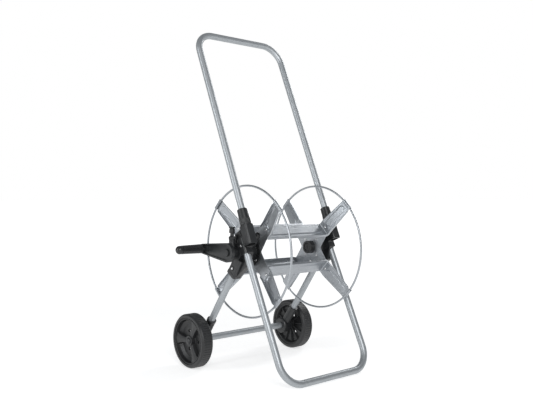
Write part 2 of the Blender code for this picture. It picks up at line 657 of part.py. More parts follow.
def make_crank(drum):
    lever = slab(lever_outline(), LEVER_BACK_X, LEVER_FACE_X)
    lever = cut(lever, slab(lever_outline(0.0035), LEVER_FACE_X - 0.0030, LEVER_FACE_X + 0.01))
    grip_y = CRANK_REACH * math.cos(CRANK_RISE)
    grip_z = CRANK_REACH * math.sin(CRANK_RISE)
    lever = join(lever, along_x(rod(0.0095, LEVER_FACE_X - 0.006, LEVER_FACE_X - 0.0004, 16), grip_y, grip_z))
    lever = cut(lever, along_x(rod(SHAFT_RADIUS + GAP, LEVER_BACK_X - 0.01, LEVER_FACE_X + 0.01, 16)))
    lever = cut(lever, along_x(rod(ROD_RADIUS + GAP, LEVER_BACK_X - 0.01, LEVER_FACE_X + 0.01), grip_y, grip_z))
    add_part("crank_lever", mirrored(lever, -1), drum, PLASTIC)
    screw = turned([(0, 0.1900), (0.0041, 0.1900), (0.0041, 0.2023), (0.0100, 0.2023), (0.0100, 0.2040),
                    (0.0080, 0.2052), (0, 0.2052)], 10)
    add_part("crank_screw", mirrored(along_x(screw), -1), drum, ZINC)
    spindle = turned([(0, 0.1908), (0.0070, 0.1908), (0.0085, 0.1918), (0.0085, 0.1930), (ROD_RADIUS, 0.1930),
                      (ROD_RADIUS, 0.2790), (ROD_RADIUS - 0.001, 0.2800), (0, 0.2800)], 12)
    add_part("grip_spindle", mirrored(along_x(spindle, grip_y, grip_z), -1), drum, ZINC)


def make_grip(drum):
    grip_y = CRANK_REACH * math.cos(CRANK_RISE)
    grip_z = CRANK_REACH * math.sin(CRANK_RISE)
    axis = make_empty("grip_axis", drum, (0, grip_y, grip_z))
    bore = ROD_RADIUS + GAP
    start = LEVER_FACE_X + 0.0005
    profile = [(bore, start), (0.0122, start), (0.0130, start + 0.0020), (0.0130, 0.2140),
               (0.0125, 0.2500), (0.0118, 0.2800), (0.0108, 0.2855), (0.0080, 0.2888),
               (0.0040, GRIP_END_X), (0, GRIP_END_X), (0, 0.2810), (bore, 0.2810)]
    grip = mirrored(along_x(turned(profile, 16)), -1)
    add_part("crank_grip", grip, axis, PLASTIC)


# ---------------------------------------------------------------- assembly
def build():
    clear_scene()
    datum = make_empty("cart_datum", None, (MID_X, HUB_Y, 0))
    hub = make_empty("hub_axis", datum, (0, 0, HUB_HEIGHT))
    drum = make_empty("drum_axis", datum, (0, 0, HUB_HEIGHT))
    axle = make_empty("axle_bracket_axis", datum, (0, AXLE_Y, WHEEL_RADIUS))
    make_handle(datum)
    make_foot(datum)
    make_axle(datum)
    for side, label in ((-1, "left"), (1, "right")):
        make_wheel_leg(datum, side, label)
        make_bracket(hub, side, label)
        make_bracket_screws(hub, side, label)
        make_collar(datum, side, label)
        make_axle_bracket(axle, side, label)
        make_wheel(datum, side, label, 0.0 if side < 0 else RIGHT_WHEEL_TURN)
        make_ring(drum, side, label)
        make_plate(drum, side, label)
        make_rivets(drum, side, label)
    for name, angle in CORNERS:
        make_strip(drum, name + "_strip", angle)
    make_left_hub(drum)
    make_right_hub(drum)
    make_shaft(drum)
    make_inlet(hub)
    make_crank(drum)
    make_grip(drum)


build()
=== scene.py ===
"""Looks of a garden hose reel cart: smooth, detailed pieces and procedural finishes on its frame.

Shapes are drawn about the drum's axis, in metres: +X towards the side without the crank,
+Y towards the wheels, +Z up. Right-hand shapes are mirrored for the left.
"""
import json
from math import asin, atan2, copysign, cos, hypot, pi, radians, remainder, sin, sqrt, tan, tau

import bmesh
import bpy
from mathutils import Matrix, Vector


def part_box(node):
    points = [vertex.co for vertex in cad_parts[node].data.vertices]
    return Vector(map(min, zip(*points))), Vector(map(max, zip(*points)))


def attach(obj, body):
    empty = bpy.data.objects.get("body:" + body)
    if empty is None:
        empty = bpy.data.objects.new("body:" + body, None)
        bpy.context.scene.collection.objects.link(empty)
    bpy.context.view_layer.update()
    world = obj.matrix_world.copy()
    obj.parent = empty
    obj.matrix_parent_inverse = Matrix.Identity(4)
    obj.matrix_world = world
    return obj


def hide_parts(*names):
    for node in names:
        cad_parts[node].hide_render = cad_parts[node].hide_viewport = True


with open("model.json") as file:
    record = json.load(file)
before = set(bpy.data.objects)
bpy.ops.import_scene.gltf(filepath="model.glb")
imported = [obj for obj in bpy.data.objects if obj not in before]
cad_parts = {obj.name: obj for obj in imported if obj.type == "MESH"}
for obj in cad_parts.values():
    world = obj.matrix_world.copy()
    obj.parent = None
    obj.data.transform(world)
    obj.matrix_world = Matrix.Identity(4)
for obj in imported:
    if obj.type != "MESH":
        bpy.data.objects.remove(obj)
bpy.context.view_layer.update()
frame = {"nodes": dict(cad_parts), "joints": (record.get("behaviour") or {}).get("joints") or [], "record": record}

# ---- places and sizes from the frame
JOINTS = {joint["name"]: joint for joint in frame["joints"]}
BODY_OF = {node: body for body, nodes in frame["record"]["behaviour"]["bodies"].items() for node in nodes}
SLOT_OF = {part["node"]: part["material_slot"] for part in frame["record"]["subparts"]}
HUB = Vector(JOINTS["drum_spin"]["pos_m"])
TO_HUB = Matrix.Translation(HUB)
LEFT, RIGHT = (-1, "left"), (1, "right")


def low_of(node):
    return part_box(node)[0] - HUB


def high_of(node):
    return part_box(node)[1] - HUB


def half_of(node):
    return (high_of(node) - low_of(node)) / 2


def middle_of(node):
    return (high_of(node) + low_of(node)) / 2


GAP = 0.0003
TUBE_RADIUS = half_of("axle_tube").z
TUBE_WALL = 0.0012
LEG_X = middle_of("right_wheel_leg").x
AXLE = Vector((0, middle_of("right_wheel").y, middle_of("right_wheel").z))
WHEEL_RADIUS = half_of("right_wheel").z
WHEEL_WIDTH = half_of("right_wheel").x * 2
WHEEL_INNER_X = low_of("right_wheel").x
AXLE_TUBE_END = half_of("axle_tube").x
RING_X = middle_of("right_ring").x
RING_HALF_THICK = 0.00275
RING_HALF_WIDE = half_of("right_ring").x
RING_RADIUS = half_of("right_ring").z - RING_HALF_THICK
BRACKET_INNER_X = low_of("right_bracket").x + 0.0004
BRACKET_OUTER_X = high_of("right_bracket").x - 0.0001
PLATE_X = low_of("right_centre_plate").x
PLATE_THICK = half_of("right_centre_plate").x * 2
HUB_BOSS_X = low_of("right_hub").x
HUB_END_X = high_of("right_hub").x
HUB_FLANGE_RADIUS = half_of("right_hub").z
LEVER_BACK_X = -high_of("crank_lever").x
LEVER_FACE_X = -low_of("crank_lever").x
GRIP_START_X = -high_of("crank_grip").x
GRIP_END_X = -low_of("crank_grip").x
GRIP_CENTRE = Vector(JOINTS["grip_spin"]["pos_m"]) - HUB
CRANK_REACH = hypot(GRIP_CENTRE.y, GRIP_CENTRE.z)
CRANK_RISE = atan2(GRIP_CENTRE.z, GRIP_CENTRE.y)

SHEET = 0.0012
BAR_RADIUS = 0.077
STRIP_ROOT_X = 0.112
ARM_RIVET_RADIUS = 0.085
HUB_RIVET_RADIUS = 0.033
HUB_BARREL_RADIUS = 0.027
HUB_BOSS_RADIUS = 0.0187
SHAFT_RADIUS = 0.008
ROD_RADIUS = 0.005
INLET_X = 0.1836
OUTLET_X = 0.1335
OUTLET_ANGLE = radians(135)


def at(x, y, z):
    return Matrix.Translation((x, y, z))


def spin(angle):
    """A turn about X."""
    return Matrix.Rotation(angle, 4, "X")


def leg_frame(hub_y, tilt, x=LEG_X):
    """From a leg's own frame, Z along the leg with its zero at hub height, to the hub's frame."""
    return at(x, hub_y, 0) @ spin(-tilt)


HANDLE_AXIS = Vector(JOINTS["handle_slide"]["axis"])
HANDLE_TILT = atan2(HANDLE_AXIS.y, HANDLE_AXIS.z)
COLLAR = Vector(JOINTS["right_collar_turn"]["pos_m"]) - HUB
HANDLE_HUB_Y = COLLAR.y - COLLAR.z * tan(HANDLE_TILT)
FOOT_TILT = radians(24.8)
FOOT_HUB_Y = -0.0338
WHEEL_LEG_TILT = radians(-35.7)
WHEEL_LEG_HUB_Y = -0.0196
HANDLE_FRAME = leg_frame(HANDLE_HUB_Y, HANDLE_TILT)
FOOT_FRAME = leg_frame(FOOT_HUB_Y, FOOT_TILT)
WHEEL_LEG_FRAME = leg_frame(WHEEL_LEG_HUB_Y, WHEEL_LEG_TILT)
AXLE_S = AXLE.z / cos(WHEEL_LEG_TILT)
HANDLE_END_S, HANDLE_CORNER = 0.045, 0.06
FOOT_END_S, FOOT_CORNER = 0.037, 0.061
WHEEL_LEG_END_S, WHEEL_LEG_TOP_S = AXLE_S + 0.034, -0.0315
SLEEVE_BOTTOM_S, SLEEVE_TOP_S, SPIGOT_TOP_S = 0.025, 0.08, 0.095
BRACKET_HALF = (BRACKET_OUTER_X - BRACKET_INNER_X) / 2
TO_AXLE = Matrix.Translation(AXLE)
TO_WHEEL = Matrix.Translation(AXLE + Vector((WHEEL_INNER_X, 0, 0)))
SPOKE_TURN = {"left": radians(-90), "right": radians(-38)}
LEVER_HUB_RADIUS, LEVER_TIP_RADIUS = 0.026, 0.014
CAMERA_PLACE = (HUB.x - 1.27819, HUB.y - 1.40671, 0.49181)
CAMERA_ANGLES = (radians(90 - 0.346), radians(0.0796), radians(-40.876))
CAMERA_LENS = 44.675
CORNERS = [(name, radians(angle)) for name, angle in
        (("front_upper", 45), ("front_lower", 135), ("rear_lower", 225), ("rear_upper", 315))]


# ---- outlines
def circle(radius, sides):
    step = tau / sides
    return [(radius * cos(i * step), radius * sin(i * step)) for i in range(sides)]


def arc(centre, radius, start, stop, steps):
    """Points from angle start to stop, both included."""
    angles = [start + (stop - start) * i / steps for i in range(steps + 1)]
    return [(centre[0] + radius * cos(a), centre[1] + radius * sin(a)) for a in angles]


def softened(points, radius, steps=3, closed=True):
    """Round an outline's corners. A third value in a point is its own radius; the axis stays sharp."""
    result = []
    for i, point in enumerate(points):
        here = Vector(point[:2])
        wanted = point[2] if len(point) > 2 else radius
        is_end = not closed and i in (0, len(points) - 1)
        if is_end or abs(here.x) < 1e-7 or wanted <= 0:
            result.append(tuple(here))
            continue
        back = Vector(points[i - 1][:2]) - here
        ahead = Vector(points[(i + 1) % len(points)][:2]) - here
        corner = back.angle(ahead)
        if corner > radians(172):
            result.append(tuple(here))
            continue
        reach = min(wanted / tan(corner / 2), 0.46 * back.length, 0.46 * ahead.length)
        actual = reach * tan(corner / 2)
        inward = (back.normalized() + ahead.normalized()).normalized()
        centre = here + inward * actual / sin(corner / 2)
        first = here + back.normalized() * reach - centre
        last = here + ahead.normalized() * reach - centre
        start = atan2(first.y, first.x)
        turn = remainder(atan2(last.y, last.x) - start, tau)
        result += arc(centre, actual, start, start + turn, steps)
    return result


def rectangle(half_x, low_y, high_y):
    return [(half_x, high_y), (-half_x, high_y), (-half_x, low_y), (half_x, low_y)]


# ---- solids
def bridge(shape, first, second):
    """Quads between two loops of equal length."""
    for i in range(len(first)):
        j = (i + 1) % len(first)
        shape.faces.new((first[i], first[j], second[j], second[i]))


def facing_out(shape):
    bmesh.ops.recalc_face_normals(shape, faces=shape.faces)
    return shape


def bevelled(shape, width, segments=2, least=30):
    """Round every edge whose faces meet at more than the least angle."""
    sharp = [e for e in shape.edges if len(e.link_faces) == 2 and e.calc_face_angle(0) > radians(least)]
    bmesh.ops.bevel(shape, geom=sharp, offset=width, offset_type="OFFSET", segments=segments, profile=0.5,
            affect="EDGES", clamp_overlap=True)
    return shape


def column(outline, low, high, edge=0.0):
    """Extrude an (x, y) outline along Z and round its rims."""
    shape = bmesh.new()
    bottom = [shape.verts.new((x, y, low)) for x, y in outline]
    top = [shape.verts.new((x, y, high)) for x, y in outline]
    bridge(shape, bottom, top)
    shape.faces.new(bottom[::-1])
    shape.faces.new(top)
    facing_out(shape)
    return bevelled(shape, edge, 2, 50) if edge else shape


def slab(outline, low, high, edge=0.0):
    """Extrude a (y, z) outline along X."""
    shape = column(outline, low, high, edge)
    shape.transform(Matrix(((0, 0, 1, 0), (1, 0, 0, 0), (0, 1, 0, 0), (0, 0, 0, 1))))
    return shape


def turned(profile, sides=64, swell=None):
    """Revolve a closed profile of (radius, z) points about Z. swell(angle, radius, z) may change a radius."""
    shape = bmesh.new()
    loops = []
    for radius, z in profile:
        if radius < 1e-7:
            loops.append([shape.verts.new((0, 0, z))])
            continue
        loop = []
        for k in range(sides):
            angle = tau * k / sides
            reach = swell(angle, radius, z) if swell else radius
            loop.append(shape.verts.new((reach * cos(angle), reach * sin(angle), z)))
        loops.append(loop)
    for i, here in enumerate(loops):
        there = loops[(i + 1) % len(loops)]
        if len(here) == len(there) == 1:
            continue
        if len(here) == len(there):
            bridge(shape, here, there)
            continue
        pole, ring = (here[0], there) if len(here) == 1 else (there[0], here)
        for k in range(sides):
            shape.faces.new((pole, ring[k], ring[(k + 1) % sides]))
    return facing_out(shape)


def fluted(count, depth, low, high, fade=0.0008):
    """A swell that cuts count straight grooves between two heights."""
    def swell(angle, radius, z):
        wave = 0.5 - 0.5 * cos(angle * count)
        share = min(1.0, max(0.0, (z - low) / fade), max(0.0, (high - z) / fade))
        return radius - depth * share * wave ** 0.7
    return swell


def along_x(shape, y=0.0, z=0.0):
    """Lay a shape that was made about Z along X instead."""
    shape.transform(at(0, y, z) @ Matrix.Rotation(pi / 2, 4, "Y"))
    return shape


def rod(radius, low, high, edge=0.0, sides=48):
    return turned(softened([(0, low), (radius, low), (radius, high), (0, high)], edge, 3), sides)


def pipe(outer, inner, low, high, edge=0.0003, sides=48):
    return turned(softened([(inner, low), (outer, low), (outer, high), (inner, high)], edge, 2), sides)


def swept_tube(path, sides=40):
    """A hollow tube along a path in the XZ plane of its own frame."""
    shape = bmesh.new()
    normal = Vector((0, 1, 0))
    walls = ([], [])
    for i, point in enumerate(path):
        before = (point - path[i - 1]).normalized() if i > 0 else None
        after = (path[i + 1] - point).normalized() if i + 1 < len(path) else None
        tangent = ((before or after) + (after or before)).normalized()
        side = normal.cross(tangent)
        for wall, radius in zip(walls, (TUBE_RADIUS, TUBE_RADIUS - TUBE_WALL)):
            ring = [point + normal * a + side * b for a, b in circle(radius, sides)]
            wall.append([shape.verts.new(p) for p in ring])
    for wall in walls:
        for first, second in zip(wall, wall[1:]):
            bridge(shape, first, second)
    for end in (0, -1):
        bridge(shape, walls[0][end], walls[1][end])
    return facing_out(shape)


def moved(shape, matrix):
    shape.transform(matrix)
    return shape


def mirrored(shape, side):
    """Keep a right-hand shape, or mirror it to the left."""
    if side < 0:
        shape.transform(Matrix.Scale(-1, 4, (1, 0, 0)))
        bmesh.ops.reverse_faces(shape, faces=shape.faces)
    return shape


def combine(base, tool, operation):
    """Boolean of two solids; the result replaces base."""
    items = []
    for shape in (base, tool):
        mesh = bpy.data.meshes.new("boolean")
        shape.to_mesh(mesh)
        shape.free()
        item = bpy.data.objects.new("boolean", mesh)
        bpy.context.collection.objects.link(item)
        items.append(item)
    modifier = items[0].modifiers.new("boolean", "BOOLEAN")
    modifier.operation = operation
    modifier.solver = "EXACT"
    modifier.object = items[1]
    result = bmesh.new()
    evaluated = items[0].evaluated_get(bpy.context.evaluated_depsgraph_get())
    result.from_mesh(evaluated.to_mesh())
    evaluated.to_mesh_clear()
    for item in items:
        bpy.data.meshes.remove(item.data)
    return result


def join(base, *tools):
    for tool in tools:
        base = combine(base, tool, "UNION")
    return base


def cut(base, *tools):
    for tool in tools:
        base = combine(base, tool, "DIFFERENCE")
    return base


def gathered(*shapes):
    """Several solids in one mesh."""
    result = bmesh.new()
    for shape in shapes:
        mesh = bpy.data.meshes.new("gathered")
        shape.to_mesh(mesh)
        shape.free()
        result.from_mesh(mesh)
        bpy.data.meshes.remove(mesh)
    return result


# ---- materials
def add_node(tree, kind, **values):
    """A node with its properties and unlinked inputs set."""
    node = tree.nodes.new(kind)
    for name, value in values.items():
        if hasattr(node, name):
            setattr(node, name, value)
        else:
            node.inputs[name.replace("_", " ")].default_value = value
    return node


def noise(tree, place, scale, detail=3.0, roughness=0.55, stretch=None):
    """A noise texture in object space, drawn out along one axis when asked."""
    source = place
    if stretch:
        mapping = add_node(tree, "ShaderNodeMapping", vector_type="POINT")
        mapping.inputs["Scale"].default_value = stretch
        tree.links.new(place, mapping.inputs["Vector"])
        source = mapping.outputs["Vector"]
    node = add_node(tree, "ShaderNodeTexNoise", Scale=scale, Detail=detail, Roughness=roughness)
    tree.links.new(source, node.inputs["Vector"])
    return node.outputs["Fac"]


def spread(tree, value, low, high, start=0.3, stop=0.7):
    """Map a texture's middle range to low..high."""
    node = add_node(tree, "ShaderNodeMapRange", clamp=True)
    for name, number in (("From Min", start), ("From Max", stop), ("To Min", low), ("To Max", high)):
        node.inputs[name].default_value = number
    tree.links.new(value, node.inputs["Value"])
    return node.outputs["Result"]


def tint(tree, factor, dark, light):
    """A colour between two others; the dark one may be another node's colour."""
    node = add_node(tree, "ShaderNodeMix", data_type="RGBA")
    if isinstance(dark, tuple):
        node.inputs[6].default_value = (*dark, 1)
    else:
        tree.links.new(dark, node.inputs[6])
    node.inputs[7].default_value = (*light, 1)
    tree.links.new(factor, node.inputs[0])
    return node.outputs[2]


def add_bump(tree, shader, layers):
    """Stack bump layers of (height, strength, distance in metres)."""
    below = None
    for height, strength, distance in layers:
        bump = add_node(tree, "ShaderNodeBump", Strength=strength, Distance=distance)
        tree.links.new(height, bump.inputs["Height"])
        if below:
            tree.links.new(below, bump.inputs["Normal"])
        below = bump.outputs["Normal"]
    tree.links.new(below, shader.inputs["Normal"])


def link_finish(tree, shader, colour, roughness, layers):
    tree.links.new(colour, shader.inputs["Base Color"])
    tree.links.new(roughness, shader.inputs["Roughness"])
    add_bump(tree, shader, layers)


def new_material(name):
    material = bpy.data.materials.new(name)
    material.use_nodes = True
    tree = material.node_tree
    shader = tree.nodes["Principled BSDF"]
    place = tree.nodes.new("ShaderNodeTexCoord").outputs["Object"]
    return material, tree, shader, place


def painted_edge_highlight(tree, low=0.53, high=0.6, amount=0.6):
    """Mask for a painted highlight: high on the outer edges of a mesh."""
    shape = tree.nodes.new("ShaderNodeNewGeometry").outputs["Pointiness"]
    return spread(tree, shape, 0.0, amount, low, high)


def silver_paint():
    """Satin silver coat on drawn tube: metal flake, faint orange peel and rubbed patches."""
    material, tree, shader, place = new_material("silver_paint")
    flake = noise(tree, place, 2600, 2)
    patches = noise(tree, place, 22, 4)
    drawn = noise(tree, place, 60, 3, stretch=(9, 9, 0.8))
    base = tint(tree, spread(tree, patches, 0, 1), (0.345, 0.367, 0.384), (0.39, 0.411, 0.429))
    colour = tint(tree, spread(tree, flake, 0, 0.18, 0.45, 0.75), base, (0.52, 0.54, 0.56))
    shader.inputs["Metallic"].default_value = 0.75
    link_finish(tree, shader, colour, spread(tree, drawn, 0.4, 0.52),
            [(noise(tree, place, 420, 2), 0.06, 0.0001)])
    return material


def galvanised_sheet():
    """Hot-dipped sheet: zinc spangle, rolling streaks, fine scratches and a painted highlight on outer edges."""
    material, tree, shader, place = new_material("galvanised_sheet")
    spangle = add_node(tree, "ShaderNodeTexVoronoi", feature="F1", Scale=320.0)
    warp = add_node(tree, "ShaderNodeTexNoise", Scale=90.0, Detail=2.0)
    shift = add_node(tree, "ShaderNodeMix", data_type="VECTOR")
    shift.inputs[0].default_value = 0.006
    tree.links.new(place, warp.inputs["Vector"])
    tree.links.new(place, shift.inputs[4])
    tree.links.new(warp.outputs["Color"], shift.inputs[5])
    tree.links.new(shift.outputs[1], spangle.inputs["Vector"])
    grain = tree.nodes.new("ShaderNodeSeparateColor")
    tree.links.new(spangle.outputs["Color"], grain.inputs["Color"])
    streaks = noise(tree, place, 160, 4, stretch=(0.35, 2.2, 2.2))
    base = tint(tree, spread(tree, grain.outputs["Red"], 0, 1, 0, 1), (0.36, 0.38, 0.402), (0.4, 0.42, 0.444))
    colour = tint(tree, spread(tree, streaks, 0, 0.22, 0.5, 0.8), base, (0.66, 0.68, 0.7))
    # painted highlight: outer edges and folds are lightened towards near white
    colour = tint(tree, painted_edge_highlight(tree, 0.54, 0.62, 0.5), colour, (0.8, 0.82, 0.84))
    shader.inputs["Metallic"].default_value = 0.92
    link_finish(tree, shader, colour, spread(tree, grain.outputs["Green"], 0.34, 0.44, 0, 1),
        [(streaks, 0.06, 0.0001), (spangle.outputs["Distance"], 0.04, 0.0002)])
    return material


def zinc_plate():
    """Bright zinc on turned and headed hardware."""
    material, tree, shader, place = new_material("zinc_plate")
    mottle = noise(tree, place, 500, 4)
    marks = noise(tree, place, 1500, 2, stretch=(4, 1, 1))
    base = tint(tree, spread(tree, mottle, 0, 1), (0.6, 0.61, 0.63), (0.78, 0.78, 0.77))
    shader.inputs["Metallic"].default_value = 1.0
    link_finish(tree, shader, base, spread(tree, mottle, 0.2, 0.34), [(marks, 0.12, 0.00005)])
    return material


def moulded_plastic(name, dark, light, rough, grain_scale, grain_depth, edge_highlight_paint):
    """Moulded plastic with a fine sparked grain, soft flow patches and a painted highlight on outer edges."""
    material, tree, shader, place = new_material(name)
    flow = noise(tree, place, 35, 4)
    grain = noise(tree, place, grain_scale, 2)
    dust = noise(tree, place, 260, 5, 0.7)
    base = tint(tree, spread(tree, flow, 0, 1), dark, light)
    colour = tint(tree, spread(tree, dust, 0, 0.05, 0.55, 0.8), base, (0.12, 0.125, 0.13))
    # painted highlight: outer edges are lightened towards the edge highlight colour
    colour = tint(tree, painted_edge_highlight(tree, 0.53, 0.62, 0.55), colour, edge_highlight_paint)
    shader.inputs["Specular IOR Level"].default_value = 0.5
    link_finish(tree, shader, colour, spread(tree, flow, rough - 0.05, rough + 0.06),
        [(flow, 0.05, 0.0006), (grain, 0.22, grain_depth)])
    return material


def seal_rubber():
    material, tree, shader, place = new_material("seal_rubber")
    bloom = noise(tree, place, 300, 4)
    colour = tint(tree, spread(tree, bloom, 0, 1), (0.01, 0.01, 0.011), (0.028, 0.028, 0.03))
    link_finish(tree, shader, colour, spread(tree, bloom, 0.55, 0.72),
            [(noise(tree, place, 1400, 2), 0.2, 0.00004)])
    return material


FINISHES = {
    "tube_steel": silver_paint(),
    "galvanised_sheet": galvanised_sheet(),
    "zinc_hardware": zinc_plate(),
    # the last colour of each plastic is its painted edge highlight
    "frame_plastic": moulded_plastic("frame_plastic", (0.01, 0.011, 0.012), (0.016, 0.017, 0.018),
        0.34, 1500, 0.00005, (0.045, 0.047, 0.05)),
    "wheel_plastic": moulded_plastic("wheel_plastic", (0.01, 0.0105, 0.011), (0.017, 0.0175, 0.019),
        0.42, 1100, 0.00007, (0.05, 0.052, 0.055)),
    "grip_plastic": moulded_plastic("grip_plastic", (0.009, 0.0095, 0.01), (0.014, 0.0145, 0.016),
        0.27, 1900, 0.00003, (0.04, 0.042, 0.045)),
    "seal_rubber": seal_rubber(),
}


# ---- pieces
def detail(node, shape, sharp=32):
    """A finished piece that stands for one CAD node and rides on its body."""
    bmesh.ops.remove_doubles(shape, verts=shape.verts, dist=1e-6)
    facing_out(shape)
    shape.transform(TO_HUB)
    mesh = bpy.data.meshes.new(node + "_finished")
    shape.to_mesh(mesh)
    shape.free()
    mesh.shade_smooth()
    mesh.set_sharp_from_angle(angle=radians(sharp))
    mesh.materials.append(FINISHES[SLOT_OF[node]])
    item = bpy.data.objects.new(node + "_finished", mesh)
    bpy.context.scene.collection.objects.link(item)
    normals = item.modifiers.new("weighted normals", "WEIGHTED_NORMAL")
    normals.keep_sharp = True
    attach(item, BODY_OF[node])
    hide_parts(node)
    return item


def coat_kept_nodes():
    """CAD nodes that keep their shape still get their finish."""
    for node, item in frame["nodes"].items():
        item.data.materials.clear()
        item.data.materials.append(FINISHES[SLOT_OF[node]])


# ---- tube frame
def bent_legs(end_s, bar_s, corner):
    """Path of a U tube: up one leg, across the bar, down the other leg."""
    upward = copysign(1.0, bar_s - end_s)
    path = [Vector((-LEG_X, 0, end_s))]
    for x, start in ((-LEG_X + corner, pi), (LEG_X - corner, pi / 2)):
        for dx, dz in arc((0, 0), corner, start, start - pi / 2, 20):
            path.append(Vector((x + dx, 0, bar_s - upward * corner + upward * dz)))
    path.append(Vector((LEG_X, 0, end_s)))
    return path


def make_tubes():
    to_handle = leg_frame(HANDLE_HUB_Y, HANDLE_TILT, 0)
    to_foot = leg_frame(FOOT_HUB_Y, FOOT_TILT, 0)
    handle_top = (high_of("handle_tube").z - TUBE_RADIUS) / cos(HANDLE_TILT)
    foot_bottom = (low_of("foot_tube").z + TUBE_RADIUS) / cos(FOOT_TILT)
    detail("handle_tube", moved(swept_tube(bent_legs(HANDLE_END_S, handle_top, HANDLE_CORNER)), to_handle))
    detail("foot_tube", moved(swept_tube(bent_legs(FOOT_END_S, foot_bottom, FOOT_CORNER)), to_foot))
    for side, label in (LEFT, RIGHT):
        leg = pipe(TUBE_RADIUS, TUBE_RADIUS - TUBE_WALL, WHEEL_LEG_END_S, WHEEL_LEG_TOP_S)
        detail(label + "_wheel_leg", mirrored(moved(leg, WHEEL_LEG_FRAME), side))
    axle = along_x(pipe(TUBE_RADIUS, TUBE_RADIUS - TUBE_WALL, -AXLE_TUBE_END, AXLE_TUBE_END))
    detail("axle_tube", moved(axle, TO_AXLE))


# ---- side brackets
SCREW_PLACES = (("foot", FOOT_FRAME, 0.02), ("leg", WHEEL_LEG_FRAME, -0.055))


def bar_on(leg_place, n, low, high, half_x, width):
    """A slim bead along a leg, a little proud of both faces."""
    outline = softened(rectangle(half_x, n - width / 2, n + width / 2), width * 0.3, 2)
    return moved(column(outline, low, high, width * 0.3), leg_place)


def make_bracket(side, label):
    half = BRACKET_HALF
    web_outline = [(-0.062, 0.028), (-0.0395, 0.018), (-0.0465, 0.0025), (-0.037, -0.037), (0.009, -0.072),
            (0.034, -0.052), (0.025, -0.02), (0.027, 0.005), (0.022, 0.03), (0.008, 0.05), (-0.019, 0.066),
            (-0.0446, 0.077)]
    body = slab(softened(web_outline, 0.005, 4), BRACKET_INNER_X + 0.001, BRACKET_OUTER_X - 0.009, 0.0012)
    sleeve = column(softened(rectangle(half, -0.015, 0.014), 0.005, 5), SLEEVE_BOTTOM_S, SLEEVE_TOP_S, 0.001)
    spigot = rod(0.0124, 0.076, SPIGOT_TOP_S, 0.0005)
    foot_socket = column(softened(rectangle(half - 0.0004, -0.013, 0.013), 0.005, 5), -0.003, 0.042, 0.001)
    leg_socket = column(softened(rectangle(half - 0.0002, -0.02, 0.014), 0.005, 5), -0.0765, -0.018, 0.0012)
    leg_band = column(softened(rectangle(half + 0.0006, -0.0208, 0.0148), 0.0055, 5), -0.077, -0.068, 0.0008)
    boss = along_x(rod(0.024, BRACKET_INNER_X - 0.0004, BRACKET_OUTER_X + 0.0001, 0.001, 72))
    body = join(body, moved(sleeve, HANDLE_FRAME), moved(spigot, HANDLE_FRAME), moved(foot_socket, FOOT_FRAME))
    body = join(body, moved(leg_socket, WHEEL_LEG_FRAME), boss)
    beads = [bar_on(HANDLE_FRAME, -0.0072, 0.0265, 0.0785, half + 0.0008, 0.002),
            bar_on(HANDLE_FRAME, 0.0102, 0.0265, 0.0785, half + 0.0006, 0.0016),
            bar_on(WHEEL_LEG_FRAME, -0.015, -0.066, -0.02, half + 0.0006, 0.0018),
            bar_on(WHEEL_LEG_FRAME, 0.009, -0.066, -0.025, half + 0.0005, 0.0016)]
    body = join(body, *beads)
    for y, z, turn in ((-0.023, 0.044, -30), (0.002, 0.037, 5), (0.019, 0.016, 60)):
        outline = softened(rectangle(0.0009, -0.011, 0.011), 0.0008, 2)
        rib = slab(outline, BRACKET_OUTER_X - 0.01, BRACKET_OUTER_X - 0.004, 0.0004)
        place = at(0, y, z) @ spin(radians(turn))
        body = join(body, moved(rib, place))
    bore = TUBE_RADIUS + GAP
    stepped = turned([(0, 0.01), (0.0118, 0.01), (0.0118, 0.035), (bore, 0.035), (bore, 0.105), (0, 0.105)], 48)
    body = cut(body, moved(stepped, HANDLE_FRAME))
    body = cut(body, moved(rod(bore, -0.06, 0.0375), FOOT_FRAME))
    body = cut(body, moved(rod(bore, -0.09, -0.031), WHEEL_LEG_FRAME))
    body = cut(body, along_x(rod(SHAFT_RADIUS + GAP, BRACKET_INNER_X - 0.01, BRACKET_OUTER_X + 0.01)))
    extras = [moved(cut(leg_band, rod(bore, -0.09, -0.031)), WHEEL_LEG_FRAME)]
    for _, leg_place, s in SCREW_PLACES:
        place = leg_place @ at(0, 0, s)
        body = cut(body, moved(along_x(rod(0.0022, bore + GAP, half + 0.004, 0, 24)), place))
        extras.append(moved(along_x(pipe(0.0062, 0.0044, half - 0.002, half + 0.0012, 0.0004)), place))
    detail(label + "_bracket", mirrored(gathered(body, *extras), side))


def cross_recess(low, high, reach, width):
    """Cutter for a cross drive in a head that faces +Z."""
    return [column(rectangle(reach, -width / 2, width / 2), low, high),
            column(rectangle(width / 2, -reach, reach), low, high)]


def make_bracket_screws(side, label):
    half = BRACKET_HALF
    top = half + 0.0022
    for name, leg_place, s in SCREW_PLACES:
        profile = [(0, 0.0099), (0.0018, 0.0099), (0.0018, half + GAP, 0), (0.0038, half + GAP),
                (0.0036, half + 0.0014), (0.0024, top), (0, top)]
        screw = turned(softened(profile, 0.0006, 3), 32)
        screw = cut(screw, *cross_recess(top - 0.001, top + 0.001, 0.002, 0.0006))
        screw = moved(along_x(screw), leg_place @ at(0, 0, s))
        detail(f"{label}_{name}_screw", mirrored(screw, side))


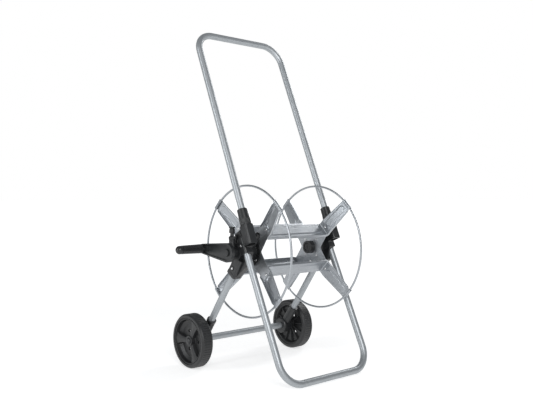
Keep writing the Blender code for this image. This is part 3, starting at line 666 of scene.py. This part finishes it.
def make_collar(side, label):
    """Lock collar: a wide band with upright grip ribs, and a taper of fine rings above it."""
    bore = TUBE_RADIUS + GAP
    low, band_top, high = 0.0805, 0.0975, 0.126
    profile = [(0.0128, low), (0.015, low), (0.0155, low + 0.0006), (0.0155, low + 0.0028),
            (0.0155, low + 0.0038), (0.0155, band_top - 0.0018), (0.0155, band_top - 0.0008),
            (0.0155, band_top - 0.0003), (0.0152, band_top)]
    for k in range(9):
        radius, start = 0.0149 - 0.0001 * k, band_top + 0.0004 + 0.0031 * k
        profile += [(radius - 0.0006, start), (radius - 0.0001, start + 0.0004), (radius, start + 0.0008),
                (radius, start + 0.0022), (radius - 0.0001, start + 0.0026), (radius - 0.0006, start + 0.0029)]
    profile += [(0.0126, high), (bore, high), (bore, 0.0956), (0.0128, 0.0956)]
    ribs = fluted(36, 0.0007, low + 0.0028, band_top - 0.0008, 0.001)

    def swell(angle, radius, z):
        return ribs(angle, radius, z) if radius > 0.0153 else radius
    detail(label + "_collar", mirrored(moved(turned(profile, 216, swell), HANDLE_FRAME), side), 40)


# ---- axle and wheels
def make_axle_bracket(side, label):
    """Black end fitting: a socket for the wheel leg over a ribbed round body for the axle."""
    inner_x = low_of("right_axle_bracket").x
    outer_x = 0.173
    profile = [(0, inner_x), (0.0215, inner_x), (0.0235, inner_x + 0.003), (0.0235, outer_x - 0.003),
            (0.0215, outer_x), (0, outer_x)]
    barrel = turned(softened(profile, 0.0008, 2), 144, fluted(18, 0.0011, inner_x + 0.004, outer_x - 0.004))
    body = along_x(barrel)
    body = join(body, along_x(rod(0.011, outer_x - 0.002, WHEEL_INNER_X - GAP, 0.0006)))
    to_axle = Matrix.Translation(-AXLE) @ WHEEL_LEG_FRAME
    socket = [(0, AXLE_S + 0.006), (0.0131, AXLE_S + 0.006), (0.0131, AXLE_S + 0.068),
            (0.0137, AXLE_S + 0.0695), (0.0137, AXLE_S + 0.077), (0, AXLE_S + 0.077)]
    body = join(body, moved(turned(softened(socket, 0.0006, 3)), to_axle))
    for n in (-0.0126, 0.0126):
        body = join(body, bar_on(to_axle, n, AXLE_S + 0.018, AXLE_S + 0.072, 0.0011, 0.003))
    body = cut(body, moved(rod(TUBE_RADIUS + GAP, AXLE_S + 0.0335, AXLE_S + 0.09), to_axle))
    bore, small = TUBE_RADIUS + GAP, ROD_RADIUS + GAP
    body = cut(body, along_x(turned([(0, inner_x - 0.01), (bore, inner_x - 0.01), (bore, 0.158),
            (small, 0.158), (small, outer_x + 0.02), (0, outer_x + 0.02)], 48)))
    detail(label + "_axle_bracket", mirrored(moved(body, TO_AXLE), side))


def make_axle_cap(side, label):
    profile = [(0, 0.0354), (0.0053, 0.0354), (0.0053, 0.0333), (0.0095, 0.0333), (0.0095, 0.0346),
            (0.0086, 0.036), (0.006, 0.0371), (0.003, 0.0374), (0, 0.0374)]
    cap = along_x(turned(softened(profile, 0.0004, 2), 48))
    detail(label + "_axle_cap", mirrored(moved(cap, TO_WHEEL), side))


TREAD_RIBS = 64


def tread_band():
    """Ring of fine cross ribs between two smooth shoulders."""
    low, high = 0.0062, 0.0318
    core = WHEEL_RADIUS - 0.003
    profile = [(core, 0.0044), (WHEEL_RADIUS - 0.0006, 0.0044), (WHEEL_RADIUS, 0.0052), (WHEEL_RADIUS, low),
            (WHEEL_RADIUS, low + 0.0008), (WHEEL_RADIUS, 0.014), (WHEEL_RADIUS, 0.024),
            (WHEEL_RADIUS, high - 0.0008), (WHEEL_RADIUS, high), (WHEEL_RADIUS, 0.033),
            (WHEEL_RADIUS - 0.0006, 0.0338), (core, 0.0338)]

    def swell(angle, radius, z):
        if radius < WHEEL_RADIUS - 0.001:
            return radius
        phase = (angle * TREAD_RIBS / tau + 0.01) % 1.0
        share = min(1.0, max(0.0, (z - low) / 0.0008), max(0.0, (high - z) / 0.0008))
        return radius - (0.0011 * share if phase > 0.5 else 0.0)
    return along_x(turned(profile, TREAD_RIBS * 6, swell))


def wheel_spoke():
    """A spoke that flares to the rim, with a soft ridge along its middle, pointing along +Z."""
    shape = bmesh.new()
    loops = []
    for reach, half, x in ((0.006, 0.0075, 0.0312), (0.02, 0.0072, 0.0316), (0.036, 0.009, 0.0324),
            (0.05, 0.013, 0.0336), (0.0628, 0.0205, 0.035)):
        section = [(0.017, half + 0.0022), (x - 0.0016, half), (x - 0.0004, half * 0.35), (x, 0),
                (x - 0.0004, -half * 0.35), (x - 0.0016, -half), (0.017, -half - 0.0022)]
        loops.append([shape.verts.new((depth, across, reach)) for depth, across in section])
    for first, second in zip(loops, loops[1:]):
        bridge(shape, first, second)
    shape.faces.new(loops[0])
    shape.faces.new(loops[-1][::-1])
    return bevelled(facing_out(shape), 0.0009, 2, 40)


def make_wheel(side, label, turn):
    bore = ROD_RADIUS + GAP
    core = WHEEL_RADIUS - 0.0008
    profile = [(bore, 0.033), (bore, 0.0), (0.013, 0.0), (0.0142, 0.014), (0.0555, 0.014), (0.06, 0.0045),
            (0.062, 0.003), (0.0645, 0.003), (0.0655, 0.0), (0.0725, 0.0, 0.002), (core, 0.0036, 0.002),
            (core, 0.0344, 0.002), (0.0732, WHEEL_WIDTH, 0.0015), (0.0668, WHEEL_WIDTH, 0.0006),
            (0.0662, 0.0352, 0.0004), (0.064, 0.0352, 0.0004), (0.0636, 0.0368, 0.0006),
            (0.0618, 0.0366, 0.0008), (0.0598, 0.025, 0.003), (0.05, 0.02, 0.004), (0.0165, 0.02, 0.002),
            (0.015, 0.0334, 0.0008)]
    wheel = along_x(turned(softened(profile, 0.0008, 3), 120))
    for i in range(3):
        about = spin(turn + i * tau / 3)
        wheel = join(wheel, moved(wheel_spoke(), about))
    for i in range(3):
        window = spin(turn + (i + 0.5) * tau / 3)
        wheel = cut(wheel, moved(along_x(rod(0.005, 0.01, 0.026, 0, 32), 0, 0.03), window))
    wheel = join(wheel, along_x(pipe(0.015, bore, 0.03, 0.0334, 0.0006, 64)))
    ribs = [moved(slab(rectangle(0.001, 0.015, 0.056), 0.0075, 0.015, 0.0003),
            spin(turn + i * tau / 12)) for i in range(12)]
    wheel = gathered(wheel, tread_band(), *ribs)
    detail(label + "_wheel", mirrored(moved(wheel, TO_WHEEL), side), 38)


# ---- drum
def strip_path():
    """Right half of a strip in (x, radius), with each point's half width, flange height and corner radius."""
    inner = RING_X - RING_HALF_WIDE - GAP - SHEET
    outer = RING_X + RING_HALF_WIDE + GAP + SHEET
    top = RING_RADIUS + RING_HALF_THICK + GAP + SHEET
    lip = SHEET + 0.0002
    root, tip = 0.02225, 0.0175
    return [(0.0, BAR_RADIUS, root, 0.007, 0), (STRIP_ROOT_X, BAR_RADIUS, root, 0.007, 0.003),
            (STRIP_ROOT_X, 0.093, root, 0.007, 0.01), (inner - 0.0012, 0.169, tip + 0.0003, 0.007, 0.004),
            (inner, 0.1765, tip, lip, 0.002), (inner, top, tip, lip, 0.0042), (outer, top, tip, lip, 0.0042),
            (outer, RING_RADIUS - 0.002, tip, lip, 0)]


def strip_stations(step=0.0022):
    """Close stations along half a strip: place, half width, flange height and length along it."""
    path = strip_path()
    rounded = softened([(p[0] + 1.0, p[1], p[4]) for p in path], 0.001, 4, closed=False)
    rounded = [Vector((x - 1.0, r)) for x, r in rounded]
    knots = [Vector(p[:2]) for p in path]
    stations = []
    for first, second in zip(rounded, rounded[1:]):
        pieces = max(1, round((second - first).length / step))
        stations += [first.lerp(second, i / pieces) for i in range(pieces)]
    stations.append(rounded[-1])
    result = []
    run = 0.0
    for i, spot in enumerate(stations):
        run += (spot - stations[i - 1]).length if i else 0.0
        best = None
        for k, (a, b) in enumerate(zip(knots, knots[1:])):
            share = min(1.0, max(0.0, (spot - a).dot(b - a) / (b - a).length_squared))
            away = (spot - a.lerp(b, share)).length
            if best is None or away < best[0] - 1e-6:
                best = (away, k, share)
        _, k, share = best
        wide = path[k][2] + (path[k + 1][2] - path[k][2]) * share
        flange = path[k][3] + (path[k + 1][3] - path[k][3]) * share
        result.append((spot, wide, flange, run))
    return result


def bead_height(along, across, start, stop, half, height):
    """A pressed bead with round ends, as a height at a point of the sheet."""
    nearest = min(max(along, start + half), stop - half)
    away = hypot(along - nearest, across)
    share = min(1.0, max(0.0, (half - away) / 0.0022))
    return height * share * share * (3 - 2 * share)


WEB_POINTS = 31


def strip_section(half, flange, lift):
    """Outer then inner outline of the channel; lift(across) is the pressed height of the web."""
    corner = min(0.0022, flange - 0.0001)
    inner_corner = max(corner - SHEET, 0.0001)
    flat = half - corner
    outer, inner = [(-half, flange)], [(-half + SHEET, flange)]

    def add_corner(side, start):
        for k in range(5):
            angle = start + (pi / 2) * k / 4
            for line, radius in ((outer, corner), (inner, inner_corner)):
                line.append((side * flat + radius * cos(angle), corner + radius * sin(angle)))
    add_corner(-1, pi)
    for k in range(1, WEB_POINTS - 1):
        across = -flat + 2 * flat * k / (WEB_POINTS - 1)
        outer.append((across, -lift(across)))
        inner.append((across, SHEET - lift(across)))
    add_corner(1, -pi / 2)
    outer.append((half, flange))
    inner.append((half - SHEET, flange))
    return outer + inner[::-1]


def make_strip(name, angle):
    """One bar with an arm at each end, pressed from a single strip of sheet."""
    half = strip_stations()
    stations = [(Vector((-s.x, s.y)), w, f, -run) for s, w, f, run in reversed(half[1:])] + half
    bar_end = STRIP_ROOT_X - 0.01
    arm_start = STRIP_ROOT_X + 0.0145
    arm_stop = STRIP_ROOT_X + 0.094
    shape = bmesh.new()
    loops = []
    for i, (spot, wide, flange, run) in enumerate(stations):
        before = (spot - stations[i - 1][0]).normalized() if i > 0 else None
        after = (stations[i + 1][0] - spot).normalized() if i + 1 < len(stations) else None
        tangent = ((before or after) + (after or before)).normalized()
        stretch = 1.0 / max(0.5, tangent.dot(before or after))
        inward = Vector((tangent.y, -tangent.x)) * stretch

        def lift(across, run=abs(run)):
            bar = bead_height(run, across, -bar_end, bar_end, 0.0135, 0.0012)
            arm = bead_height(run, across, arm_start, arm_stop, 0.0105, 0.002)
            return bar + arm
        loop = []
        for across, depth in strip_section(wide, flange, lift):
            place = spot + inward * depth
            loop.append(shape.verts.new((place.x, across, place.y)))
        loops.append(loop)
    for first, second in zip(loops, loops[1:]):
        bridge(shape, first, second)
    for end in (loops[0], loops[-1]):
        count = len(end)
        for k in range(count // 2 - 1):
            shape.faces.new((end[k], end[k + 1], end[count - 2 - k], end[count - 1 - k]))
    facing_out(shape)
    detail(name, moved(shape, spin(angle)), 40)


def make_ring(side, label):
    section = [(RING_HALF_THICK * cos(a), RING_HALF_WIDE * sin(a)) for a in [tau * k / 12 for k in range(12)]]
    ring = turned([(RING_RADIUS + r, RING_X + x) for r, x in section], 192)
    detail(label + "_ring", mirrored(along_x(ring), side), 60)


def plate_outline():
    """Four arms, the first along +Z, that widen towards the middle and meet in notches."""
    arm_half, flare, reach, notch = 0.0205, 0.066, 0.091, 0.039
    outline = []
    for i in range(4):
        middle = pi / 2 + i * pi / 2
        along = Vector((cos(middle), sin(middle)))
        across = Vector((along.y, -along.x)) * arm_half
        outline += [(*(along * flare + across), 0), (*(along * reach + across), 0.004),
                (*(along * reach - across), 0.004), (*(along * flare - across), 0)]
        corner = middle + pi / 4
        outline.append((notch * cos(corner), notch * sin(corner), 0.006))
    return softened(outline, 0.003, 4)


def plate_ribs():
    """Fine ribs along an arm: across, low end and high end of each."""
    hub_rim, rivet_reach, arm_end, flare_end = 0.0285, 0.0385, 0.074, 0.054
    for k in range(12):
        across = 0.004 * (k - 5.5)
        low = rivet_reach
        if abs(across) > 0.005:
            low = max(sqrt(hub_rim ** 2 - across ** 2), abs(across) + 0.0015)
        yield across, low, flare_end if abs(across) > 0.02 else arm_end


def make_plate(side, label):
    plate = slab(plate_outline(), PLATE_X, PLATE_X + PLATE_THICK, 0.0003)
    plate = cut(plate, along_x(rod(HUB_BOSS_RADIUS + GAP, PLATE_X - 0.005, PLATE_X + 0.005)))
    beads = []
    for i in range(4):
        quarter = spin(i * pi / 2)
        for z, radius in ((ARM_RIVET_RADIUS, 0.0027), (HUB_RIVET_RADIUS, 0.002)):
            hole = along_x(rod(radius, PLATE_X - 0.005, PLATE_X + 0.005, 0, 24), 0, z)
            plate = cut(plate, moved(hole, quarter))
        for across, low, high in plate_ribs():
            outline = softened(rectangle(0.001, low, high), 0.0009, 2)
            bead = slab([(y + across, z) for y, z in outline], PLATE_X - 0.0006, PLATE_X + 0.0008, 0.0004)
            beads.append(moved(bead, quarter))
    rim = along_x(pipe(0.0275, 0.0255, PLATE_X - 0.0006, PLATE_X + 0.0008, 0.0004, 96))
    plate = moved(gathered(plate, rim, *beads), spin(pi / 4))
    detail(label + "_centre_plate", mirrored(plate, side))


def rivet(low, high, shank, head, height):
    """A domed rivet along X that clamps everything between low and high."""
    dome = [(head, 0.0), (head * 0.93, height * 0.4), (head * 0.7, height * 0.73), (head * 0.38, height * 0.93)]
    profile = [(0, low - GAP - height)] + [(r, low - GAP - z) for r, z in reversed(dome)]
    profile += [(shank, low - GAP), (shank, high + GAP)] + [(r, high + GAP + z) for r, z in dome]
    profile += [(0, high + GAP + height)]
    return along_x(turned(profile, 28))


def make_rivets(side, label):
    for name, angle in CORNERS:
        corner = spin(angle)
        item = moved(rivet(STRIP_ROOT_X, PLATE_X + PLATE_THICK, 0.0025, 0.0034, 0.0008),
                corner @ at(0, 0, ARM_RIVET_RADIUS))
        detail(f"{label}_{name}_arm_rivet", mirrored(item, side))
        item = moved(rivet(PLATE_X, 0.12, 0.0018, 0.0034, 0.0012), corner @ at(0, 0, HUB_RIVET_RADIUS))
        detail(f"{label}_{name}_hub_rivet", mirrored(item, side))


# ---- hubs, shaft and water way
def outlet_frame():
    """Outlet axis on the left hub: Z points out of the hub, up and to the front."""
    return at(-OUTLET_X, 0, 0) @ spin(OUTLET_ANGLE - pi / 2)


def hub_moulding(recess=None):
    """Flanged plastic hub: boss inside the drum, ribbed flange on the plate, fluted barrel outside."""
    bore = SHAFT_RADIUS + GAP
    flange_x = PLATE_X + PLATE_THICK + GAP
    face_x = 0.12
    profile = [(bore, HUB_END_X)]
    if recess:
        profile += [(bore, HUB_BOSS_X + recess[1]), (recess[0], HUB_BOSS_X + recess[1]),
                (recess[0], HUB_BOSS_X)]
    else:
        profile += [(bore, HUB_BOSS_X)]
    profile += [(HUB_BOSS_RADIUS, HUB_BOSS_X), (HUB_BOSS_RADIUS, flange_x), (HUB_FLANGE_RADIUS, flange_x),
            (HUB_FLANGE_RADIUS, face_x), (HUB_BARREL_RADIUS, face_x), (HUB_BARREL_RADIUS, face_x + 0.002),
            (HUB_BARREL_RADIUS, HUB_END_X - 0.002), (HUB_BARREL_RADIUS, HUB_END_X)]
    flutes = fluted(24, 0.001, face_x + 0.0015, HUB_END_X - 0.0015)

    def swell(angle, radius, z):
        on_barrel = 0.0255 < radius < 0.03 and z > face_x + 0.001
        return flutes(angle, radius, z) if on_barrel else radius
    hub = along_x(turned(softened(profile, 0.0007, 3), 144, swell))
    ribs = []
    for i in range(12):
        about = spin(radians(15 + 30 * i))
        outline = [(-0.0009, 0.026), (0.0009, 0.026), (0.0009, 0.04), (-0.0009, 0.04)]
        ribs.append(moved(slab(outline, face_x - 0.0008, face_x + 0.0022, 0.0003), about))
    hub = join(hub, gathered(*ribs))
    for i in range(4):
        quarter = spin(pi / 4 + i * pi / 2)
        hub = cut(hub, moved(along_x(rod(0.002, 0.11, 0.124, 0, 20), 0, HUB_RIVET_RADIUS), quarter))
        notch = slab(rectangle(0.0016, HUB_BOSS_RADIUS - 0.0022, HUB_BOSS_RADIUS + 0.001), HUB_BOSS_X - 0.001,
                HUB_BOSS_X + 0.005)
        hub = cut(hub, moved(notch, spin(i * pi / 2)))
    return hub


def make_left_hub():
    hub = mirrored(hub_moulding(), -1)
    hub = join(hub, moved(rod(0.0118, 0.02, 0.0375, 0.0008), outlet_frame()))
    hub = cut(hub, moved(rod(0.008, 0.029, 0.045), outlet_frame()))
    detail("left_hub", hub)
    profile = [(0.004, 0.0294), (0.0077, 0.0294), (0.0077, 0.0378), (0.012, 0.0378), (0.012, 0.0386),
            (0.012, 0.0432), (0.012, 0.044), (0.0095, 0.045), (0.0095, 0.052), (0.0078, 0.053),
            (0.0078, 0.0575), (0.0088, 0.0585), (0.0088, 0.064), (0.0072, 0.0655), (0.0072, 0.07),
            (0.004, 0.072)]
    nozzle = turned(softened(profile, 0.0006, 2), 144, nut_swell(0.011, 0.038, 0.0438))
    detail("outlet_nozzle", moved(nozzle, outlet_frame()))


def nut_swell(least, low, high):
    """Grip flutes on the widest band of a hose connector."""
    flutes = fluted(24, 0.0008, low, high, 0.0006)

    def swell(angle, radius, z):
        return flutes(angle, radius, z) if radius > least else radius
    return swell


def make_right_hub():
    detail("right_hub", hub_moulding((0.0123, 0.005)))
    groove = BRACKET_OUTER_X + 0.0007
    profile = [(0, 0.099), (0.01, 0.099), (0.012, 0.1005), (0.012, 0.1027), (SHAFT_RADIUS, 0.1027),
            (SHAFT_RADIUS, groove), (0.0062, groove), (0.0062, groove + 0.0018),
            (SHAFT_RADIUS, groove + 0.0018), (SHAFT_RADIUS - 0.001, groove + 0.004), (0, groove + 0.004)]
    pin = turned(softened(profile, 0.0004, 2), 64)
    pin = cut(pin, *cross_recess(0.097, 0.1012, 0.0062, 0.0022))
    detail("right_journal", along_x(pin))


def make_shaft():
    end_x = -low_of("drum_shaft").x
    profile = [(0, 0.105), (SHAFT_RADIUS, 0.105), (SHAFT_RADIUS, end_x), (0.0045, end_x), (0.0045, 0.12),
            (0, 0.12)]
    detail("drum_shaft", mirrored(along_x(turned(softened(profile, 0.0004, 2))), -1))


def make_inlet():
    """Rotary inlet: a ribbed ring round the shaft with a hose connector standing on it."""
    low = -high_of("inlet_body").x
    high = -low_of("inlet_body").x
    profile = [(0.0104, low), (0.015, low), (0.015, low + 0.003), (0.015, high - 0.003), (0.015, high),
            (0.0104, high)]
    ring = along_x(turned(softened(profile, 0.001, 3), 96))
    ring = mirrored(ring, -1)
    here = at(-INLET_X, 0, 0)
    detail("inlet_body", gathered(ring, moved(pipe(0.0085, 0.0035, 0.0125, 0.032, 0.0005), here)))
    profile = [(0.0035, 0.0323), (0.0085, 0.0323), (0.0085, 0.0355), (0.0092, 0.036), (0.0092, 0.037),
            (0.0092, 0.0412), (0.0092, 0.0422), (0.0074, 0.043), (0.0056, 0.045), (0.005, 0.0465),
            (0.005, 0.0518), (0.0077, 0.0526), (0.0077, 0.053), (0.0067, 0.053), (0.0067, 0.0557),
            (0.0078, 0.0557), (0.0078, 0.0632), (0.006, 0.0636), (0.006, 0.0646), (0.0087, 0.065),
            (0.0087, 0.0683), (0.0076, 0.0695), (0.0035, 0.0695)]
    nipple = turned(softened(profile, 0.0005, 2), 144, nut_swell(0.0091, 0.0362, 0.042))
    detail("inlet_nipple", moved(nipple, here))


# ---- crank
def lever_outline(hub_radius, tip_radius, steps=40):
    """Side view of the lever: a large round hub end tapering to a small round grip end."""
    lean = asin((hub_radius - tip_radius) / CRANK_REACH)
    grip = (GRIP_CENTRE.y, GRIP_CENTRE.z)
    start = CRANK_RISE + pi / 2 - lean
    points = arc((0, 0), hub_radius, start, CRANK_RISE + tau - (pi / 2 - lean), steps)
    points += arc(grip, tip_radius, CRANK_RISE - (pi / 2 - lean), start, steps // 2)
    return points


def make_crank():
    """Lever with a smooth recess, a capped boss over the screw and a small raised frame near the grip."""
    lever = slab(lever_outline(LEVER_HUB_RADIUS, LEVER_TIP_RADIUS), LEVER_BACK_X, LEVER_FACE_X, 0.0012)
    lever = cut(lever, slab(lever_outline(0.0206, 0.0104), LEVER_FACE_X - 0.0034, LEVER_FACE_X + 0.01))
    at_grip = at(0, GRIP_CENTRE.y, GRIP_CENTRE.z)
    floor_x = LEVER_FACE_X - 0.004
    shoulder = moved(along_x(rod(0.011, floor_x, LEVER_FACE_X - 0.0002, 0.0006, 64)), at_grip)
    lever = join(lever, shoulder)
    tag = slab(softened(rectangle(0.006, -0.0078, 0.0078), 0.001, 3), floor_x, LEVER_FACE_X - 0.0012, 0.0003)
    tag = cut(tag, slab(softened(rectangle(0.0048, -0.0066, 0.0066), 0.0006, 2), floor_x - 0.001, LEVER_FACE_X))
    lever = cut(lever, along_x(rod(SHAFT_RADIUS + GAP, LEVER_BACK_X - 0.01, LEVER_FACE_X + 0.01)))
    lever = cut(lever, moved(along_x(rod(ROD_RADIUS + GAP, LEVER_BACK_X - 0.01, LEVER_FACE_X + 0.01)), at_grip))
    cap = [(0, 0.2046), (0.0086, 0.2046), (0.0086, floor_x - 0.001), (0.0102, floor_x - 0.001),
            (0.0102, 0.2052), (0.0096, 0.2058), (0, 0.206)]
    lever = gathered(lever, along_x(turned(softened(cap, 0.0004, 2), 64)), moved(tag, at(0, 0.089, 0.0058)))
    detail("crank_lever", mirrored(lever, -1))
    profile = [(0, 0.19), (0.0041, 0.19), (0.0041, 0.2023), (0.008, 0.2023), (0.008, 0.2036), (0.0066, 0.2042),
            (0.0034, 0.2044), (0, 0.2044)]
    detail("crank_screw", mirrored(along_x(turned(softened(profile, 0.0005, 2), 48)), -1))


def make_grip():
    """Free-turning grip: a collar, a tapered body with shallow facets, a groove and a round end."""
    bore = ROD_RADIUS + GAP
    start = GRIP_START_X
    round_x, round_radius = 0.2795, 0.0116
    profile = [(bore, start), (0.0122, start), (0.013, start + 0.0016), (0.013, start + 0.006),
            (0.0125, start + 0.0066), (0.0125, start + 0.0076), (0.013, start + 0.0082), (0.013, 0.218),
            (0.0128, 0.22), (0.0125, 0.245), (0.012, 0.27), (0.0119, 0.2718), (0.0117, 0.2724),
            (0.0108, 0.2727), (0.0108, 0.2738), (0.0115, 0.2741), (round_radius, 0.2746)]
    profile += [(round_radius * cos(k * pi / 24),
            round_x + (GRIP_END_X - round_x) * sin(k * pi / 24)) for k in range(12)]
    profile += [(0, GRIP_END_X), (0, 0.281), (bore, 0.281)]

    def swell(angle, radius, z):
        if radius < 0.009 or not 0.219 < z < 0.2721:
            return radius
        share = min(1.0, (z - 0.219) / 0.003, (0.2721 - z) / 0.002)
        return radius - 0.00045 * share * (0.5 - 0.5 * cos(angle * 10))
    grip = along_x(turned(profile, 120, swell))
    grip = moved(grip, at(0, GRIP_CENTRE.y, GRIP_CENTRE.z))
    detail("crank_grip", mirrored(grip, -1), 40)


# ---- stage, light and camera
def floor_material():
    """A white sweep that glows faintly, more so far from the object, so that its edge fades away."""
    material, tree, shader, place = new_material("pale_floor")
    mottle = noise(tree, place, 3, 3)
    tree.links.new(tint(tree, spread(tree, mottle, 0, 1), (0.6, 0.6, 0.6), (0.62, 0.62, 0.62)),
            shader.inputs["Base Color"])
    distance = add_node(tree, "ShaderNodeVectorMath", operation="LENGTH")
    tree.links.new(place, distance.inputs[0])
    tree.links.new(spread(tree, distance.outputs["Value"], 0.62, 1.0, 1.0, 5.0),
            shader.inputs["Emission Strength"])
    shader.inputs["Emission Color"].default_value = (1, 1, 1, 1)
    shader.inputs["Roughness"].default_value = 0.9
    shader.inputs["Specular IOR Level"].default_value = 0.1
    return material


def make_stage():
    """A wide pale floor."""
    reach = 60.0
    mesh = bpy.data.meshes.new("floor")
    mesh.from_pydata([(-reach, -reach, 0), (reach, -reach, 0), (reach, reach, 0), (-reach, reach, 0)], [],
            [(0, 1, 2, 3)])
    mesh.materials.append(floor_material())
    floor = bpy.data.objects.new("floor", mesh)
    bpy.context.scene.collection.objects.link(floor)


def add_light(name, place, aim, size, power, colour=(1, 1, 1)):
    data = bpy.data.lights.new(name, "AREA")
    data.shape = "RECTANGLE"
    data.size, data.size_y = size
    data.energy = power
    data.color = colour
    item = bpy.data.objects.new(name, data)
    item.location = place
    item.rotation_euler = (Vector(aim) - Vector(place)).to_track_quat("-Z", "Y").to_euler()
    bpy.context.scene.collection.objects.link(item)


def make_lights():
    """A white surround that lights dimly, and three soft boxes."""
    world = bpy.data.worlds.new("studio")
    world.use_nodes = True
    bpy.context.scene.world = world
    tree = world.node_tree
    seen = tree.nodes["Background"]
    seen.inputs["Color"].default_value = (1, 1, 1, 1)
    dim = add_node(tree, "ShaderNodeBackground")
    dim.inputs["Color"].default_value = (0.94, 0.97, 1.0, 1)
    dim.inputs["Strength"].default_value = 0.3
    path = tree.nodes.new("ShaderNodeLightPath")
    choice = tree.nodes.new("ShaderNodeMixShader")
    tree.links.new(path.outputs["Is Camera Ray"], choice.inputs[0])
    tree.links.new(dim.outputs[0], choice.inputs[1])
    tree.links.new(seen.outputs[0], choice.inputs[2])
    tree.links.new(choice.outputs[0], tree.nodes["World Output"].inputs["Surface"])
    add_light("front_box", (-1.5, -2.6, 1.7), (0, 0, 0.45), (1.4, 1.4), 55)
    add_light("side_box", (-3.0, 0.7, 1.3), (0, 0, 0.45), (0.5, 1.8), 32, (0.97, 0.99, 1.0))
    add_light("back_box", (2.4, 0.4, 1.8), (0, 0, 0.4), (0.6, 1.6), 22)


def make_camera():
    """The view from the front on the crank side, a hand's breadth above the hub."""
    data = bpy.data.cameras.new("camera")
    data.lens = CAMERA_LENS
    data.sensor_width = 36.0
    item = bpy.data.objects.new("camera", data)
    item.location = CAMERA_PLACE
    item.rotation_euler = CAMERA_ANGLES
    bpy.context.scene.collection.objects.link(item)
    bpy.context.scene.camera = item


# ---- assembly
coat_kept_nodes()
make_tubes()
for side, label in (LEFT, RIGHT):
    make_bracket(side, label)
    make_bracket_screws(side, label)
    make_collar(side, label)
    make_axle_bracket(side, label)
    make_axle_cap(side, label)
    make_wheel(side, label, SPOKE_TURN[label])
    make_ring(side, label)
    make_plate(side, label)
    make_rivets(side, label)
for name, angle in CORNERS:
    make_strip(name + "_strip", angle)
make_left_hub()
make_right_hub()
make_shaft()
make_inlet()
make_crank()
make_grip()
make_stage()
make_lights()
make_camera()
bpy.context.scene.view_settings.view_transform = "Standard"
